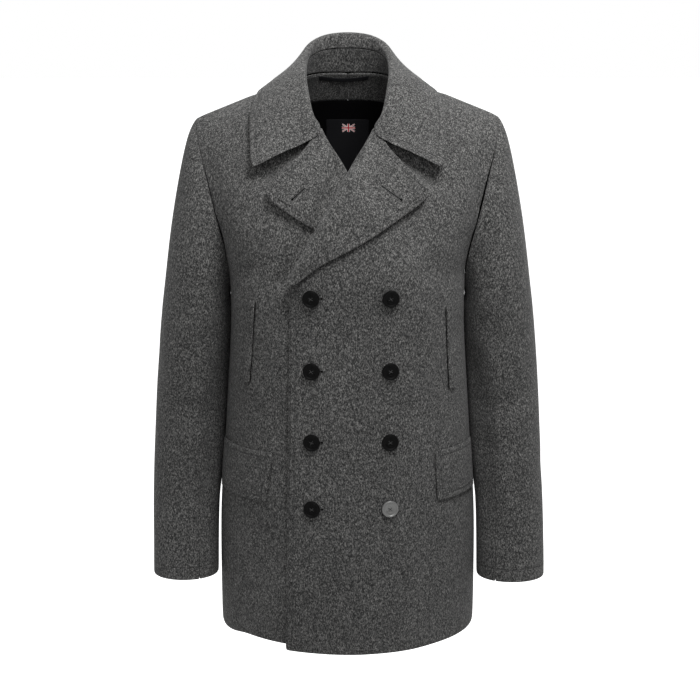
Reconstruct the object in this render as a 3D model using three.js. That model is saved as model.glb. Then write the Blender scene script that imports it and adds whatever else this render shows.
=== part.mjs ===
// A double-breasted wool pea coat, filled out as it is worn. Millimetres, +Z up.
// The front faces -Y and +X is the wearer's left. The origin lies midway between the two
// shoulder seams, level with their points 120 mm out, where the coat hangs on a wearer.
import * as THREE from 'three';

// Driving dimensions
const woolWall = 3;
const lapelWall = 4;
const collarWall = 4.5;
const seamGap = 0.3;
const hemLevel = -762;
const underarmLevel = -275;
const chestLevel = -250;
const breakLevel = -242;
const neckPoint = { x: 75, z: 18 };
const shoulderTip = { x: 212, z: -37 };
const lowerRows = 12;
const upperRows = 12;
const rollRows = 9;
const frontColumns = 12;
const shoulderColumns = 6;
const neckColumns = 3;
const underSleeveHalf = 4;

// The body, cut level: half of the width, the depths in front of and behind the side seam,
// and how square the oval is
const bodySections = [
  { z: -762, halfWidth: 184.5, frontDepth: 158, backDepth: 138, squareness: 1.97 },
  { z: -700, halfWidth: 185, frontDepth: 157, backDepth: 136, squareness: 2 },
  { z: -607, halfWidth: 184.5, frontDepth: 155, backDepth: 133, squareness: 2.1 },
  { z: -548, halfWidth: 181.5, frontDepth: 153, backDepth: 129, squareness: 2.2 },
  { z: -482, halfWidth: 176, frontDepth: 151, backDepth: 125, squareness: 2.35 },
  { z: -406, halfWidth: 171, frontDepth: 150, backDepth: 121, squareness: 2.5 },
  { z: -343, halfWidth: 166.5, frontDepth: 150, backDepth: 121, squareness: 2.65 },
  { z: -275, halfWidth: 165, frontDepth: 150, backDepth: 125, squareness: 2.8 },
  { z: -232, halfWidth: 168.5, frontDepth: 150, backDepth: 127, squareness: 2.7 },
  { z: -196, halfWidth: 181, frontDepth: 150, backDepth: 128, squareness: 2.55 },
  { z: -154, halfWidth: 200, frontDepth: 150, backDepth: 128, squareness: 2.45 },
  { z: -102, halfWidth: 214, frontDepth: 150, backDepth: 128, squareness: 2.4 },
  { z: -57, halfWidth: 226, frontDepth: 150, backDepth: 128, squareness: 2.4 },
  { z: -37, halfWidth: 232, frontDepth: 150, backDepth: 128, squareness: 2.4 },
  { z: 60, halfWidth: 236, frontDepth: 150, backDepth: 128, squareness: 2.4 },
];

// How each half of the body slopes back from the chest to the shoulder seam
const frontSlope = { sign: -1, depth: 'frontDepth', neckRise: 2, riseCurve: 2.2, from: 2, to: 0.718 };
const backSlope = { sign: 1, depth: 'backDepth', neckRise: 67, riseCurve: 1.9, from: 2.2, to: 0.5 };

// The armhole seam, seen from the front and from the back
const armholeFront = [
  { z: -275, x: 165 }, { z: -232, x: 165.5 }, { z: -196, x: 172.5 }, { z: -154, x: 184 },
  { z: -102, x: 196.5 }, { z: -70, x: 206 }, { z: -37, x: 212 },
];
const armholeBack = [
  { z: -275, x: 165 }, { z: -240, x: 167 }, { z: -200, x: 176 }, { z: -150, x: 188 },
  { z: -100, x: 198 }, { z: -70, x: 205 }, { z: -37, x: 212 },
];

// The line that the lapel rolls over on, and the neck seam above it, for a front whose side seam is at +X
const rollLine = [
  { z: -242, x: -78 }, { z: -170, x: -37.5 }, { z: -94.5, x: 5.5 }, { z: -58, x: 27.5 }, { z: -41, x: 35.5 },
];
const frontNeckSeam = [{ x: 49, z: -24 }, { x: 63, z: -3 }, neckPoint];
const backNeckSeam = [neckPoint, { x: 57, z: 25 }, { x: 31, z: 27 }, { x: 0, z: 26 }];
const frontEdge = [{ z: -762, x: -87 }, { z: -400, x: -80.5 }, { z: -242, x: -78 }];

const clamp = (value) => Math.min(1, Math.max(0, value));
const ease = (value) => clamp(value) ** 2 * (3 - 2 * clamp(value));
const mix = (a, b, share) => a + (b - a) * share;

// A smooth curve through a table's rows, read at one value of its key column
function readTable(rows, key, column, at) {
  const last = rows.length - 1;
  const rising = rows[last][key] > rows[0][key];
  const want = Math.min(Math.max(at, rows[rising ? 0 : last][key]), rows[rising ? last : 0][key]);
  let k = 0;
  while (k < last - 1 && (rising ? rows[k + 1][key] < want : rows[k + 1][key] > want)) k += 1;
  const slope = (i) => {
    const low = rows[Math.max(0, i - 1)];
    const high = rows[Math.min(last, i + 1)];
    return (high[column] - low[column]) / (high[key] - low[key]);
  };
  const span = rows[k + 1][key] - rows[k][key];
  const t = (want - rows[k][key]) / span;
  return rows[k][column] * (1 + 2 * t) * (1 - t) ** 2 + slope(k) * span * t * (1 - t) ** 2
    + rows[k + 1][column] * t * t * (3 - 2 * t) - slope(k + 1) * span * t * t * (1 - t);
}

// A point a share of the way along an open line of points, with even steps between its corners
function alongLine(points, share) {
  const lengths = points.slice(1).map((p, i) => p.distanceTo(points[i]));
  let rest = clamp(share) * lengths.reduce((sum, length) => sum + length, 0);
  for (let i = 0; i < lengths.length; i += 1) {
    if (rest <= lengths[i] || i === lengths.length - 1) {
      return points[i].clone().lerp(points[i + 1], Math.min(1, rest / lengths[i]));
    }
    rest -= lengths[i];
  }
  return points[points.length - 1].clone();
}

// Height of the shoulder above each x, which bounds the front and back surfaces
function shoulderHeight(x, slope) {
  const out = Math.abs(x);
  if (out >= neckPoint.x) {
    return mix(neckPoint.z, shoulderTip.z, (out - neckPoint.x) / (shoulderTip.x - neckPoint.x));
  }
  return neckPoint.z + slope.neckRise * (1 - (out / neckPoint.x) ** slope.riseCurve);
}

function bodyDepth(x, z, slope) {
  const halfWidth = readTable(bodySections, 'z', 'halfWidth', z);
  const depth = readTable(bodySections, 'z', slope.depth, z);
  const squareness = readTable(bodySections, 'z', 'squareness', z);
  const round = (1 - Math.min(1, Math.abs(x) / halfWidth) ** squareness) ** (1 / squareness);
  const rise = clamp((z - chestLevel) / (shoulderHeight(x, slope) - chestLevel));
  return depth * round * (1 - rise ** slope.from) ** slope.to;
}

// The top front stands off the under front by the layers that lie between them: how far past the
// under edge and how gently, the air over a front and over a lapel, and where the lapel starts
const lap = { reach: 51, fade: 42, airFront: 1.8, airLapel: 5.8, lapelFrom: -284, lapelOver: 38 };
const underEdge = (z) => (z <= breakLevel ? 80 : -readTable(rollLine, 'z', 'x', z));
function lapLift(x, z) {
  const lapped = ease((underEdge(z) + lap.reach - x) / lap.fade);
  const overFront = woolWall + lap.airFront;
  const overLapel = woolWall + lapelWall + lap.airLapel;
  return lapped * mix(overFront, overLapel, ease((z - lap.lapelFrom) / lap.lapelOver));
}

function bodyPoint(x, z, slope, lift = 0) {
  return new THREE.Vector3(x, slope.sign * (bodyDepth(x, z, slope) + lift), z);
}

// x on the level ring at height z, from 0 at the side seam to 90 degrees at the middle
function ringX(angle, z) {
  const c = Math.cos(angle);
  const squareness = readTable(bodySections, 'z', 'squareness', z);
  return readTable(bodySections, 'z', 'halfWidth', z) * Math.sign(c) * Math.abs(c) ** (2 / squareness);
}
function ringAngle(x, z) {
  const share = clamp(Math.abs(x) / readTable(bodySections, 'z', 'halfWidth', z));
  const squareness = readTable(bodySections, 'z', 'squareness', z);
  return Math.acos(Math.sign(x) * share ** (squareness / 2));
}

// The height share of each row of the armhole, even round the sleeve's oval
const armholeShare = (row) => Math.sin((Math.PI * row) / upperRows / 2) ** 2;

// A panel's grid of points, rows from hem to shoulder and columns from the side seam inward
function panelGrid({ slope, columns, innerX, armhole, topLine, innerLine, lifted }) {
  const grid = [];
  const base = (j) => mix(underarmLevel, innerLine[0].y, j / columns);
  for (let i = 0; i <= lowerRows; i += 1) {
    const row = [];
    for (let j = 0; j <= columns; j += 1) {
      const z = mix(hemLevel, base(j), i / lowerRows);
      const angle = (ringAngle(innerX(z), z) * j) / columns;
      const x = ringX(angle, z);
      row.push(bodyPoint(x, z, slope, lifted ? lapLift(x, z) : 0));
    }
    grid.push(row);
  }
  const flat = (p) => new THREE.Vector2(p.x, p.z);
  const bottom = grid[lowerRows].map(flat);
  for (let r = 1; r <= upperRows; r += 1) {
    const share = armholeShare(r);
    const z = mix(underarmLevel, shoulderTip.z, share);
    const left = new THREE.Vector2(readTable(armhole, 'z', 'x', z), z);
    const right = innerLine[r];
    const row = [];
    for (let j = 0; j <= columns; j += 1) {
      const s = j / columns;
      const top = topLine(s);
      const corner00 = bottom[0].clone().lerp(bottom[columns], s);
      const corner01 = topLine(0).lerp(topLine(1), s);
      const p = bottom[j].clone().lerp(top, share)
        .add(left.clone().lerp(right, s))
        .sub(corner00.lerp(corner01, share));
      row.push(bodyPoint(p.x, p.y, slope, lifted ? lapLift(p.x, p.y) : 0));
    }
    grid.push(row);
  }
  return grid;
}

const shoulderAt = (share) => new THREE.Vector2(
  mix(shoulderTip.x, neckPoint.x, share), mix(shoulderTip.z, neckPoint.z, share),
);

// Inner boundary of a front: up the roll line to the gorge, then along the neck seam
const rollSamples = 60;
function frontInnerLine() {
  const roll = rollLine.map((p) => new THREE.Vector2(p.x, p.z));
  const line = [];
  const fine = [];
  for (let k = 0; k <= rollSamples; k += 1) {
    const z = mix(roll[0].y, roll[roll.length - 1].y, k / rollSamples);
    fine.push(new THREE.Vector2(readTable(rollLine, 'z', 'x', z), z));
  }
  for (let r = 0; r <= rollRows; r += 1) line.push(alongLine(fine, r / rollRows));
  frontNeckSeam.forEach((p) => line.push(new THREE.Vector2(p.x, p.z)));
  return line;
}

// The centre back seam, with its rows a little closer together toward the nape
const napeCrowding = 1.5;
function backInnerLine() {
  const nape = backNeckSeam[backNeckSeam.length - 1].z;
  const line = [];
  for (let r = 0; r <= upperRows; r += 1) {
    line.push(new THREE.Vector2(0, mix(underarmLevel, nape, 1 - (1 - r / upperRows) ** napeCrowding)));
  }
  return line;
}

const backColumns = shoulderColumns + neckColumns;
function backTopLine(s) {
  const column = s * backColumns;
  if (column <= shoulderColumns) return shoulderAt(column / shoulderColumns);
  const k = Math.round(column - shoulderColumns);
  return new THREE.Vector2(backNeckSeam[k].x, backNeckSeam[k].z);
}

function frontGrid(lifted) {
  return panelGrid({
    slope: frontSlope,
    columns: frontColumns,
    innerX: (z) => readTable(frontEdge, 'z', 'x', z),
    armhole: armholeFront,
    topLine: shoulderAt,
    innerLine: frontInnerLine(),
    lifted,
  });
}

function backGrid() {
  return panelGrid({
    slope: backSlope,
    columns: backColumns,
    innerX: () => 0,
    armhole: armholeBack,
    topLine: backTopLine,
    innerLine: backInnerLine(),
    lifted: false,
  });
}

// Outward normals of a grid, turned to the side that the given test point lies inside of
function gridNormals(grid, isOutward) {
  const rows = grid.length;
  const columns = grid[0].length;
  return grid.map((row, i) => row.map((p, j) => {
    const up = grid[Math.min(rows - 1, i + 1)][j].clone().sub(grid[Math.max(0, i - 1)][j]);
    const across = row[Math.min(columns - 1, j + 1)].clone().sub(row[Math.max(0, j - 1)]);
    const normal = up.cross(across).normalize();
    return isOutward(normal, p) ? normal : normal.negate();
  }));
}

// Moves one edge of a wall back from its seam line, on both faces
function trimEdge(outer, inner, edge, amount = seamGap / 2) {
  const rows = outer.length;
  const columns = outer[0].length;
  const along = edge === 'side' || edge === 'centre' ? rows : columns;
  for (let k = 0; k < along; k += 1) {
    const at = {
      side: [k, 0, k, 1],
      centre: [k, columns - 1, k, columns - 2],
      hem: [0, k, 1, k],
      top: [rows - 1, k, rows - 2, k],
    }[edge];
    const [i, j, ni, nj] = at;
    const [before, after] = edge === 'side' || edge === 'centre'
      ? [outer[Math.max(0, k - 1)][j], outer[Math.min(rows - 1, k + 1)][j]]
      : [outer[i][Math.max(0, k - 1)], outer[i][Math.min(columns - 1, k + 1)]];
    const tangent = after.clone().sub(before).normalize();
    const rim = outer[i][j].clone().sub(inner[i][j]).normalize();
    const seamPlane = tangent.clone().cross(rim).normalize();
    const inward = outer[ni][nj].clone().sub(outer[i][j]);
    if (seamPlane.dot(inward) < 0) seamPlane.negate();
    outer[i][j] = outer[i][j].clone().addScaledVector(seamPlane, amount);
    inner[i][j] = inner[i][j].clone().addScaledVector(seamPlane, amount);
  }
}

// One closed wall between two grids of points, with its four rims
function wallGeometry(outer, inner) {
  const rows = outer.length;
  const columns = outer[0].length;
  const positions = [...outer.flat(), ...inner.flat()].flatMap((p) => [p.x, p.y, p.z]);
  const out = (i, j) => i * columns + j;
  const inn = (i, j) => rows * columns + i * columns + j;
  const faces = [];
  const quad = (a, b, c, d) => faces.push(a, b, c, a, c, d);
  for (let i = 0; i < rows - 1; i += 1) {
    for (let j = 0; j < columns - 1; j += 1) {
      quad(out(i, j), out(i, j + 1), out(i + 1, j + 1), out(i + 1, j));
      quad(inn(i, j), inn(i + 1, j), inn(i + 1, j + 1), inn(i, j + 1));
    }
  }
  for (let j = 0; j < columns - 1; j += 1) {
    quad(out(0, j + 1), out(0, j), inn(0, j), inn(0, j + 1));
    quad(out(rows - 1, j), out(rows - 1, j + 1), inn(rows - 1, j + 1), inn(rows - 1, j));
  }
  for (let i = 0; i < rows - 1; i += 1) {
    quad(out(i, 0), out(i + 1, 0), inn(i + 1, 0), inn(i, 0));
    quad(out(i + 1, columns - 1), out(i, columns - 1), inn(i, columns - 1), inn(i + 1, columns - 1));
  }
  const geometry = new THREE.BufferGeometry();
  geometry.setAttribute('position', new THREE.Float32BufferAttribute(positions, 3));
  geometry.setIndex(faces);
  return faceOutward(geometry);
}

// Turns every face round if the closed mesh is inside out
function faceOutward(geometry) {
  const position = geometry.attributes.position;
  const index = geometry.index.array;
  const point = (k) => new THREE.Vector3().fromBufferAttribute(position, index[k]);
  let volume = 0;
  for (let k = 0; k < index.length; k += 3) volume += point(k).dot(point(k + 1).cross(point(k + 2)));
  if (volume < 0) {
    for (let k = 0; k < index.length; k += 3) [index[k + 1], index[k + 2]] = [index[k + 2], index[k + 1]];
  }
  geometry.computeVertexNormals();
  return geometry;
}

const mirrorGrid = (grid) => grid.map((row) => row.map((p) => new THREE.Vector3(-p.x, p.y, p.z)));
const offsetGrid = (grid, normals, amount) => grid.map((row, i) => row.map(
  (p, j) => p.clone().addScaledVector(normals[i][j], Array.isArray(amount) ? amount[i] : amount),
));

// The sleeve's sections, fanned round the underarm and then level down to the cuff
const sleeveSections = [
  { innerX: 165, innerZ: -275, outerX: 212, outerZ: -37, centreY: -3, halfDepth: 62 },
  { innerX: 166.6, innerZ: -282, outerX: 222, outerZ: -52, centreY: -1, halfDepth: 68 },
  { innerX: 166.6, innerZ: -289, outerX: 231, outerZ: -85, centreY: 0, halfDepth: 71 },
  { innerX: 166.7, innerZ: -297, outerX: 240, outerZ: -130, centreY: 1, halfDepth: 74 },
  { innerX: 166.8, innerZ: -306, outerX: 249, outerZ: -182, centreY: 2, halfDepth: 76 },
  { innerX: 167, innerZ: -317, outerX: 256, outerZ: -236, centreY: 3, halfDepth: 77 },
  { innerX: 167.5, innerZ: -332, outerX: 262, outerZ: -286, centreY: 4, halfDepth: 77 },
  { innerX: 168.9, innerZ: -355, outerX: 267, outerZ: -334, centreY: 5, halfDepth: 75 },
  { innerX: 171.4, innerZ: -390, outerX: 271, outerZ: -380, centreY: 6, halfDepth: 72 },
  { innerX: 173.8, innerZ: -428, outerX: 274, outerZ: -424, centreY: 4, halfDepth: 68.5 },
  { innerX: 176.4, innerZ: -468, outerX: 276, outerZ: -466, centreY: 0, halfDepth: 65 },
  { innerX: 179.6, innerZ: -508, outerX: 278, outerZ: -507, centreY: -5, halfDepth: 61.5 },
  { innerX: 182.9, innerZ: -548, outerX: 280, outerZ: -548, centreY: -10, halfDepth: 58 },
  { innerX: 185.4, innerZ: -586, outerX: 282, outerZ: -586, centreY: -15, halfDepth: 54.5 },
  { innerX: 186.2, innerZ: -622, outerX: 283, outerZ: -622, centreY: -20, halfDepth: 51.5 },
  { innerX: 186.6, innerZ: -655, outerX: 284, outerZ: -655, centreY: -24, halfDepth: 49 },
  { innerX: 186.8, innerZ: -686, outerX: 284.5, outerZ: -686, centreY: -27, halfDepth: 47.5 },
];
// How far each of the first sections keeps to the armhole's own shape, and how full the oval is
const capBlend = [1, 0.72, 0.42, 0.18, 0.05];
const sleeveFullness = 0.9;

// Points round one sleeve section, from the underarm forward, over the top and back
function sleeveRing(section) {
  const ring = [];
  for (let a = 0; a < upperRows * 2; a += 1) {
    const angle = (Math.PI * a) / upperRows;
    const across = (1 - Math.cos(angle)) / 2;
    const forward = Math.sign(Math.sin(angle)) * Math.abs(Math.sin(angle)) ** sleeveFullness;
    ring.push(new THREE.Vector3(
      mix(section.innerX, section.outerX, across),
      section.centreY - section.halfDepth * forward,
      mix(section.innerZ, section.outerZ, across),
    ));
  }
  return ring;
}

function sleeveRings(armhole) {
  const ideal = sleeveRing(sleeveSections[0]);
  return sleeveSections.map((section, k) => sleeveRing(section).map((p, a) => {
    const pull = armhole[a].clone().sub(ideal[a]).multiplyScalar(capBlend[k] ?? 0);
    return p.add(pull);
  }));
}

// The wearer's left side of the coat: body grids, armhole and sleeve meet on shared points
const overGrid = frontGrid(true);
const underGrid = frontGrid(false);
const backHalf = backGrid();

function buildArmhole(front) {
  const ring = [];
  for (let r = 0; r <= upperRows; r += 1) ring.push(front[lowerRows + r][0].clone());
  for (let r = upperRows - 1; r > 0; r -= 1) ring.push(backHalf[lowerRows + r][0].clone());
  return ring;
}

const outwardFrom = (centre) => (normal, p) => normal.dot(p.clone().sub(centre(p))) > 0;
const axisTop = -120;
const bodyAxis = (p) => new THREE.Vector3(0, 0, Math.min(p.z, axisTop));

// Directions through the wall along the armhole, shared by body and sleeve. Under the arm, where
// the two faces look away from each other, the direction turns down.
const opposedBelow = 0.9;
const downward = 0.05;
function armholeRims(front, rings) {
  const frontNormals = gridNormals(front, outwardFrom(bodyAxis));
  const backNormals = gridNormals(backHalf, outwardFrom(bodyAxis));
  const count = upperRows * 2;
  const rims = [];
  for (let a = 0; a < count; a += 1) {
    const bodyNormal = a <= upperRows
      ? frontNormals[lowerRows + a][0].clone()
      : backNormals[lowerRows + count - a][0].clone();
    if (a === 0 || a === upperRows) {
      bodyNormal.add(backNormals[lowerRows + (a === 0 ? 0 : upperRows)][0]).normalize();
    }
    const along = rings[1][a].clone().sub(rings[0][a]);
    const round = rings[0][(a + 1) % count].clone().sub(rings[0][(a + count - 1) % count]);
    const sleeveNormal = along.cross(round).normalize();
    const middle = rings[0][0].clone().lerp(rings[0][upperRows], 0.5);
    const outside = rings[1][a].clone().sub(middle);
    if (sleeveNormal.dot(outside) < 0) sleeveNormal.negate();
    const rim = bodyNormal.add(sleeveNormal);
    const under = clamp((opposedBelow - rim.length()) / opposedBelow);
    rim.add(new THREE.Vector3(0, 0, -under - downward)).normalize();
    rims.push(rim);
  }
  return rims;
}

function panelWall(grid, rims, { centreSeam }) {
  const normals = gridNormals(grid, outwardFrom(bodyAxis));
  const top = grid.length - 1;
  const last = grid[0].length - 1;
  const shoulderNormal = new THREE.Vector3(
    neckPoint.z - shoulderTip.z, 0, shoulderTip.x - neckPoint.x,
  ).normalize();
  for (let i = 0; i <= lowerRows; i += 1) {
    const high = grid[Math.min(lowerRows, i + 1)][0];
    const low = grid[Math.max(0, i - 1)][0];
    normals[i][0] = new THREE.Vector3(high.z - low.z, 0, low.x - high.x).normalize();
  }
  const shoulderEnd = centreSeam ? shoulderColumns : last;
  for (let j = 0; j <= shoulderEnd; j += 1) normals[top][j] = shoulderNormal.clone();
  if (centreSeam) normals.forEach((row) => row[last].setX(0).normalize());
  rims.forEach((rim, r) => { normals[lowerRows + r][0] = rim.clone(); });
  const outer = grid.map((row) => row.map((p) => p.clone()));
  const inner = offsetGrid(grid, normals, -woolWall);
  trimEdge(outer, inner, 'side');
  trimEdge(outer, inner, 'top');
  if (centreSeam) trimEdge(outer, inner, 'centre');
  return { outer, inner, normals };
}

function sleeveWalls(rings, rims) {
  const count = upperRows * 2;
  const axis = sleeveSections.map((s) => new THREE.Vector3(
    (s.innerX + s.outerX) / 2, s.centreY, (s.innerZ + s.outerZ) / 2,
  ));
  const normals = rings.map((ring, k) => ring.map((p, a) => {
    const up = rings[Math.min(rings.length - 1, k + 1)][a].clone().sub(rings[Math.max(0, k - 1)][a]);
    const round = ring[(a + 1) % count].clone().sub(ring[(a + count - 1) % count]);
    const normal = up.cross(round).normalize();
    return normal.dot(p.clone().sub(axis[k])) > 0 ? normal : normal.negate();
  }));
  rims.forEach((rim, a) => { normals[0][a] = rim.clone(); });
  const piece = (from, to) => {
    const pick = (source) => source.map((ring) => {
      const row = [];
      for (let a = from; a <= to; a += 1) row.push(ring[(a + count) % count].clone());
      return row;
    });
    const outer = pick(rings);
    const inner = offsetGrid(outer, pick(normals), -woolWall);
    trimEdge(outer, inner, 'side');
    trimEdge(outer, inner, 'centre');
    trimEdge(outer, inner, 'hem');
    return { outer, inner };
  };
  return {
    top: piece(underSleeveHalf, count - underSleeveHalf),
    under: piece(-underSleeveHalf, underSleeveHalf),
  };
}

// Materials, one colour for each cloth and finish
const wool = () => new THREE.MeshStandardMaterial({ color: 0x4b4a49, roughness: 0.95, metalness: 0 });
const black = (roughness) => new THREE.MeshStandardMaterial({ color: 0x0f0f11, roughness, metalness: 0 });
const pewter = () => new THREE.MeshStandardMaterial({ color: 0xa9a9a6, roughness: 0.35, metalness: 0.8 });

const coat = new THREE.Group();
function add(name, geometry, material = wool()) {
  const mesh = new THREE.Mesh(geometry, material);
  mesh.name = name;
  coat.add(mesh);
  return mesh;
}

// Fronts, backs and sleeves
const sides = [
  { name: 'left', grid: overGrid, flip: (g) => g },
  { name: 'right', grid: underGrid, flip: mirrorGrid },
];
const walls = {};
sides.forEach(({ name, grid, flip }) => {
  const armhole = buildArmhole(grid);
  const rings = sleeveRings(armhole);
  const rims = armholeRims(grid, rings);
  const front = panelWall(grid, rims.slice(0, upperRows + 1), { centreSeam: false });
  const backRims = [rims[0], ...rims.slice(upperRows).reverse()];
  const back = panelWall(backHalf, backRims, { centreSeam: true });
  const sleeve = sleeveWalls(rings, rims);
  walls[name] = { front, back, grid };
  add(`front_${name}`, wallGeometry(flip(front.outer), flip(front.inner)));
  add(`back_${name}`, wallGeometry(flip(back.outer), flip(back.inner)));
  add(`top_sleeve_${name}`, wallGeometry(flip(sleeve.top.outer), flip(sleeve.top.inner)));
  add(`under_sleeve_${name}`, wallGeometry(flip(sleeve.under.outer), flip(sleeve.under.inner)));
});

// Lapels: a fold round the roll line, then the turned-out cloth over the front
const lapelEdge = [
  { x: -67, z: -239 }, { x: -36, z: -214 }, { x: 0, z: -197 }, { x: 28, z: -182 },
  { x: 62, z: -159 }, { x: 88, z: -144 }, { x: 108, z: -130 },
];
const lapelTip = { x: 111, z: -122 };
const notch = { x: 48.5, z: -58 };
const foldSteps = 4;
const lapelColumns = 6;
const notchTrim = 0.5;
// Air between a lapel and its front: in the fold at the break and at the notch, and where it lies flat
const lapelAir = {
  left: { atBreak: 5, atNotch: 2.4, flat: 2.8 },
  right: { atBreak: 1.7, atNotch: 2.4, flat: 1.8 },
};
const lapelSettle = 1.6;

function lapelGrid(front, air, liftAt) {
  const rollEdge = front.grid.slice(lowerRows, lowerRows + rollRows + 1).map((row) => row[frontColumns]);
  const lower = lapelEdge.map((p) => new THREE.Vector3(p.x, 0, p.z));
  lower.push(new THREE.Vector3(lapelTip.x, 0, lapelTip.z));
  const flat = (p) => new THREE.Vector3(p.x, 0, p.z);
  const gorge = flat(rollEdge[rollRows]);
  const notchPoint = new THREE.Vector3(notch.x, 0, notch.z);
  const tip = lower[lower.length - 1];
  const topLine = [gorge, notchPoint, tip];
  const start = [flat(rollEdge[0]), lower[0]];
  const outer = [];
  const inner = [];
  rollEdge.forEach((roll, r) => {
    const t = r / rollRows;
    const before = rollEdge[Math.max(0, r - 1)];
    const after = rollEdge[Math.min(rollRows, r + 1)];
    const tangent = after.clone().sub(before).normalize();
    const normal = front.front.normals[lowerRows + r][frontColumns].clone();
    normal.addScaledVector(tangent, -normal.dot(tangent)).normalize();
    const open = tangent.clone().cross(normal).normalize();
    if (open.x > 0) open.negate();
    const gap = mix(air.atBreak, air.atNotch, t);
    const centre = roll.clone().addScaledVector(normal, gap / 2);
    const outerRow = [];
    const innerRow = [];
    for (let k = 0; k <= foldSteps; k += 1) {
      const angle = (Math.PI * k) / foldSteps;
      const direction = open.clone().multiplyScalar(Math.sin(angle))
        .addScaledVector(normal, -Math.cos(angle));
      outerRow.push(centre.clone().addScaledVector(direction, gap / 2 + lapelWall));
      innerRow.push(centre.clone().addScaledVector(direction, gap / 2));
    }
    const edge = alongLine(lower, t);
    for (let c = 1; c <= lapelColumns; c += 1) {
      const s = c / lapelColumns;
      const across = flat(roll).lerp(edge, s);
      const ends = alongLine(start, s).lerp(alongLine(topLine, s), t);
      const corners = start[0].clone().lerp(start[1], s).lerp(gorge.clone().lerp(tip, s), t);
      const p = across.add(ends).sub(corners);
      const rest = mix(air.flat, gap, (1 - s) ** lapelSettle);
      const onFront = (x, z) => bodyPoint(x, z, frontSlope, liftAt(x, z));
      const under = onFront(p.x, p.z);
      const sideways = onFront(p.x + 1, p.z).sub(under);
      const upward = onFront(p.x, p.z + 1).sub(under);
      const out = sideways.cross(upward).normalize();
      if (out.y > 0) out.negate();
      outerRow.push(under.clone().addScaledVector(out, rest + lapelWall));
      innerRow.push(under.clone().addScaledVector(out, rest));
    }
    outer.push(outerRow);
    inner.push(innerRow);
  });
  trimEdge(outer, inner, 'side', seamGap);
  trimEdge(outer, inner, 'top', notchTrim);
  return { outer, inner };
}
sides.forEach(({ name, flip }) => {
  const lapel = lapelGrid(walls[name], lapelAir[name], name === 'left' ? lapLift : () => 0);
  add(`lapel_${name}`, wallGeometry(flip(lapel.outer), flip(lapel.inner)));
});

// Collar: a stand round the neck seam, and a fall that folds over it and lies on the shoulders
// Rows run from the middle of the back round to the front of one leaf
const collarSections = [
  { x: 0, y: 72.5, z: 26.2, rollX: 0, rollY: 70, rollZ: 83, edgeX: 0, edgeY: 104, edgeZ: -6 },
  { x: 34, y: 65.5, z: 27.3, rollX: 27, rollY: 64, rollZ: 80.5, edgeX: 50, edgeY: 96, edgeZ: -7 },
  { x: 57, y: 44, z: 25.5, rollX: 47, rollY: 48, rollZ: 71, edgeX: 87, edgeY: 74, edgeZ: -10 },
  { x: 70, y: 16, z: 20.6, rollX: 55, rollY: 26, rollZ: 56, edgeX: 114, edgeY: 44, edgeZ: -3 },
  { x: 73, y: -12, z: 17, rollX: 57, rollY: 0, rollZ: 39, edgeX: 128, edgeY: 10, edgeZ: 7 },
  { x: 69, y: -38, z: 6, rollX: 56, rollY: -27, rollZ: 24, edgeX: 132, edgeY: -17, edgeZ: 1 },
  { x: 60, y: -58, z: -10, rollX: 52.5, rollY: -50, rollZ: 5, edgeX: 134, edgeY: -44, edgeZ: -18 },
  { x: 50, y: -73, z: -26, rollX: 46, rollY: -68, rollZ: -14, edgeX: 134, edgeY: -68, edgeZ: -44 },
  { x: 42, y: -80, z: -35, rollX: 37.5, rollY: -79, rollZ: -28, edgeX: 129, edgeY: -99, edgeZ: -90 },
];
const collarSteps = 15;
const standShare = 0.6;
const fallColumns = 5;
const fallBulge = 3.5;
// The roll's radius, at most this share of the stand's height, how far it turns and how far the
// seam keeps below it; walls thin out with the height too, and the stand's is the thinner one
const collarRoll = { radius: 7, heightShare: 0.45, turn: 0.78 * Math.PI, seamBelow: 1.7 };
const wallShare = { fall: 0.17, stand: 0.7 };
// Toward the end of a leaf its lower edge drops, most of all at the notch, and bends round the chest
const leafDrop = { from: 11.5, depth: 25.6, rollShare: 0.2, outward: 0.45, bulge: 3.5 };

function collarAt(step) {
  const at = (step / collarSteps) * (collarSections.length - 1);
  const rows = collarSections.map((row, k) => ({ ...row, k }));
  const read = (column) => readTable(rows, 'k', column, at);
  return {
    neck: new THREE.Vector3(read('x'), read('y'), read('z')),
    roll: new THREE.Vector3(read('rollX'), read('rollY'), read('rollZ')),
    edge: new THREE.Vector3(read('edgeX'), read('edgeY'), read('edgeZ')),
  };
}

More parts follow.
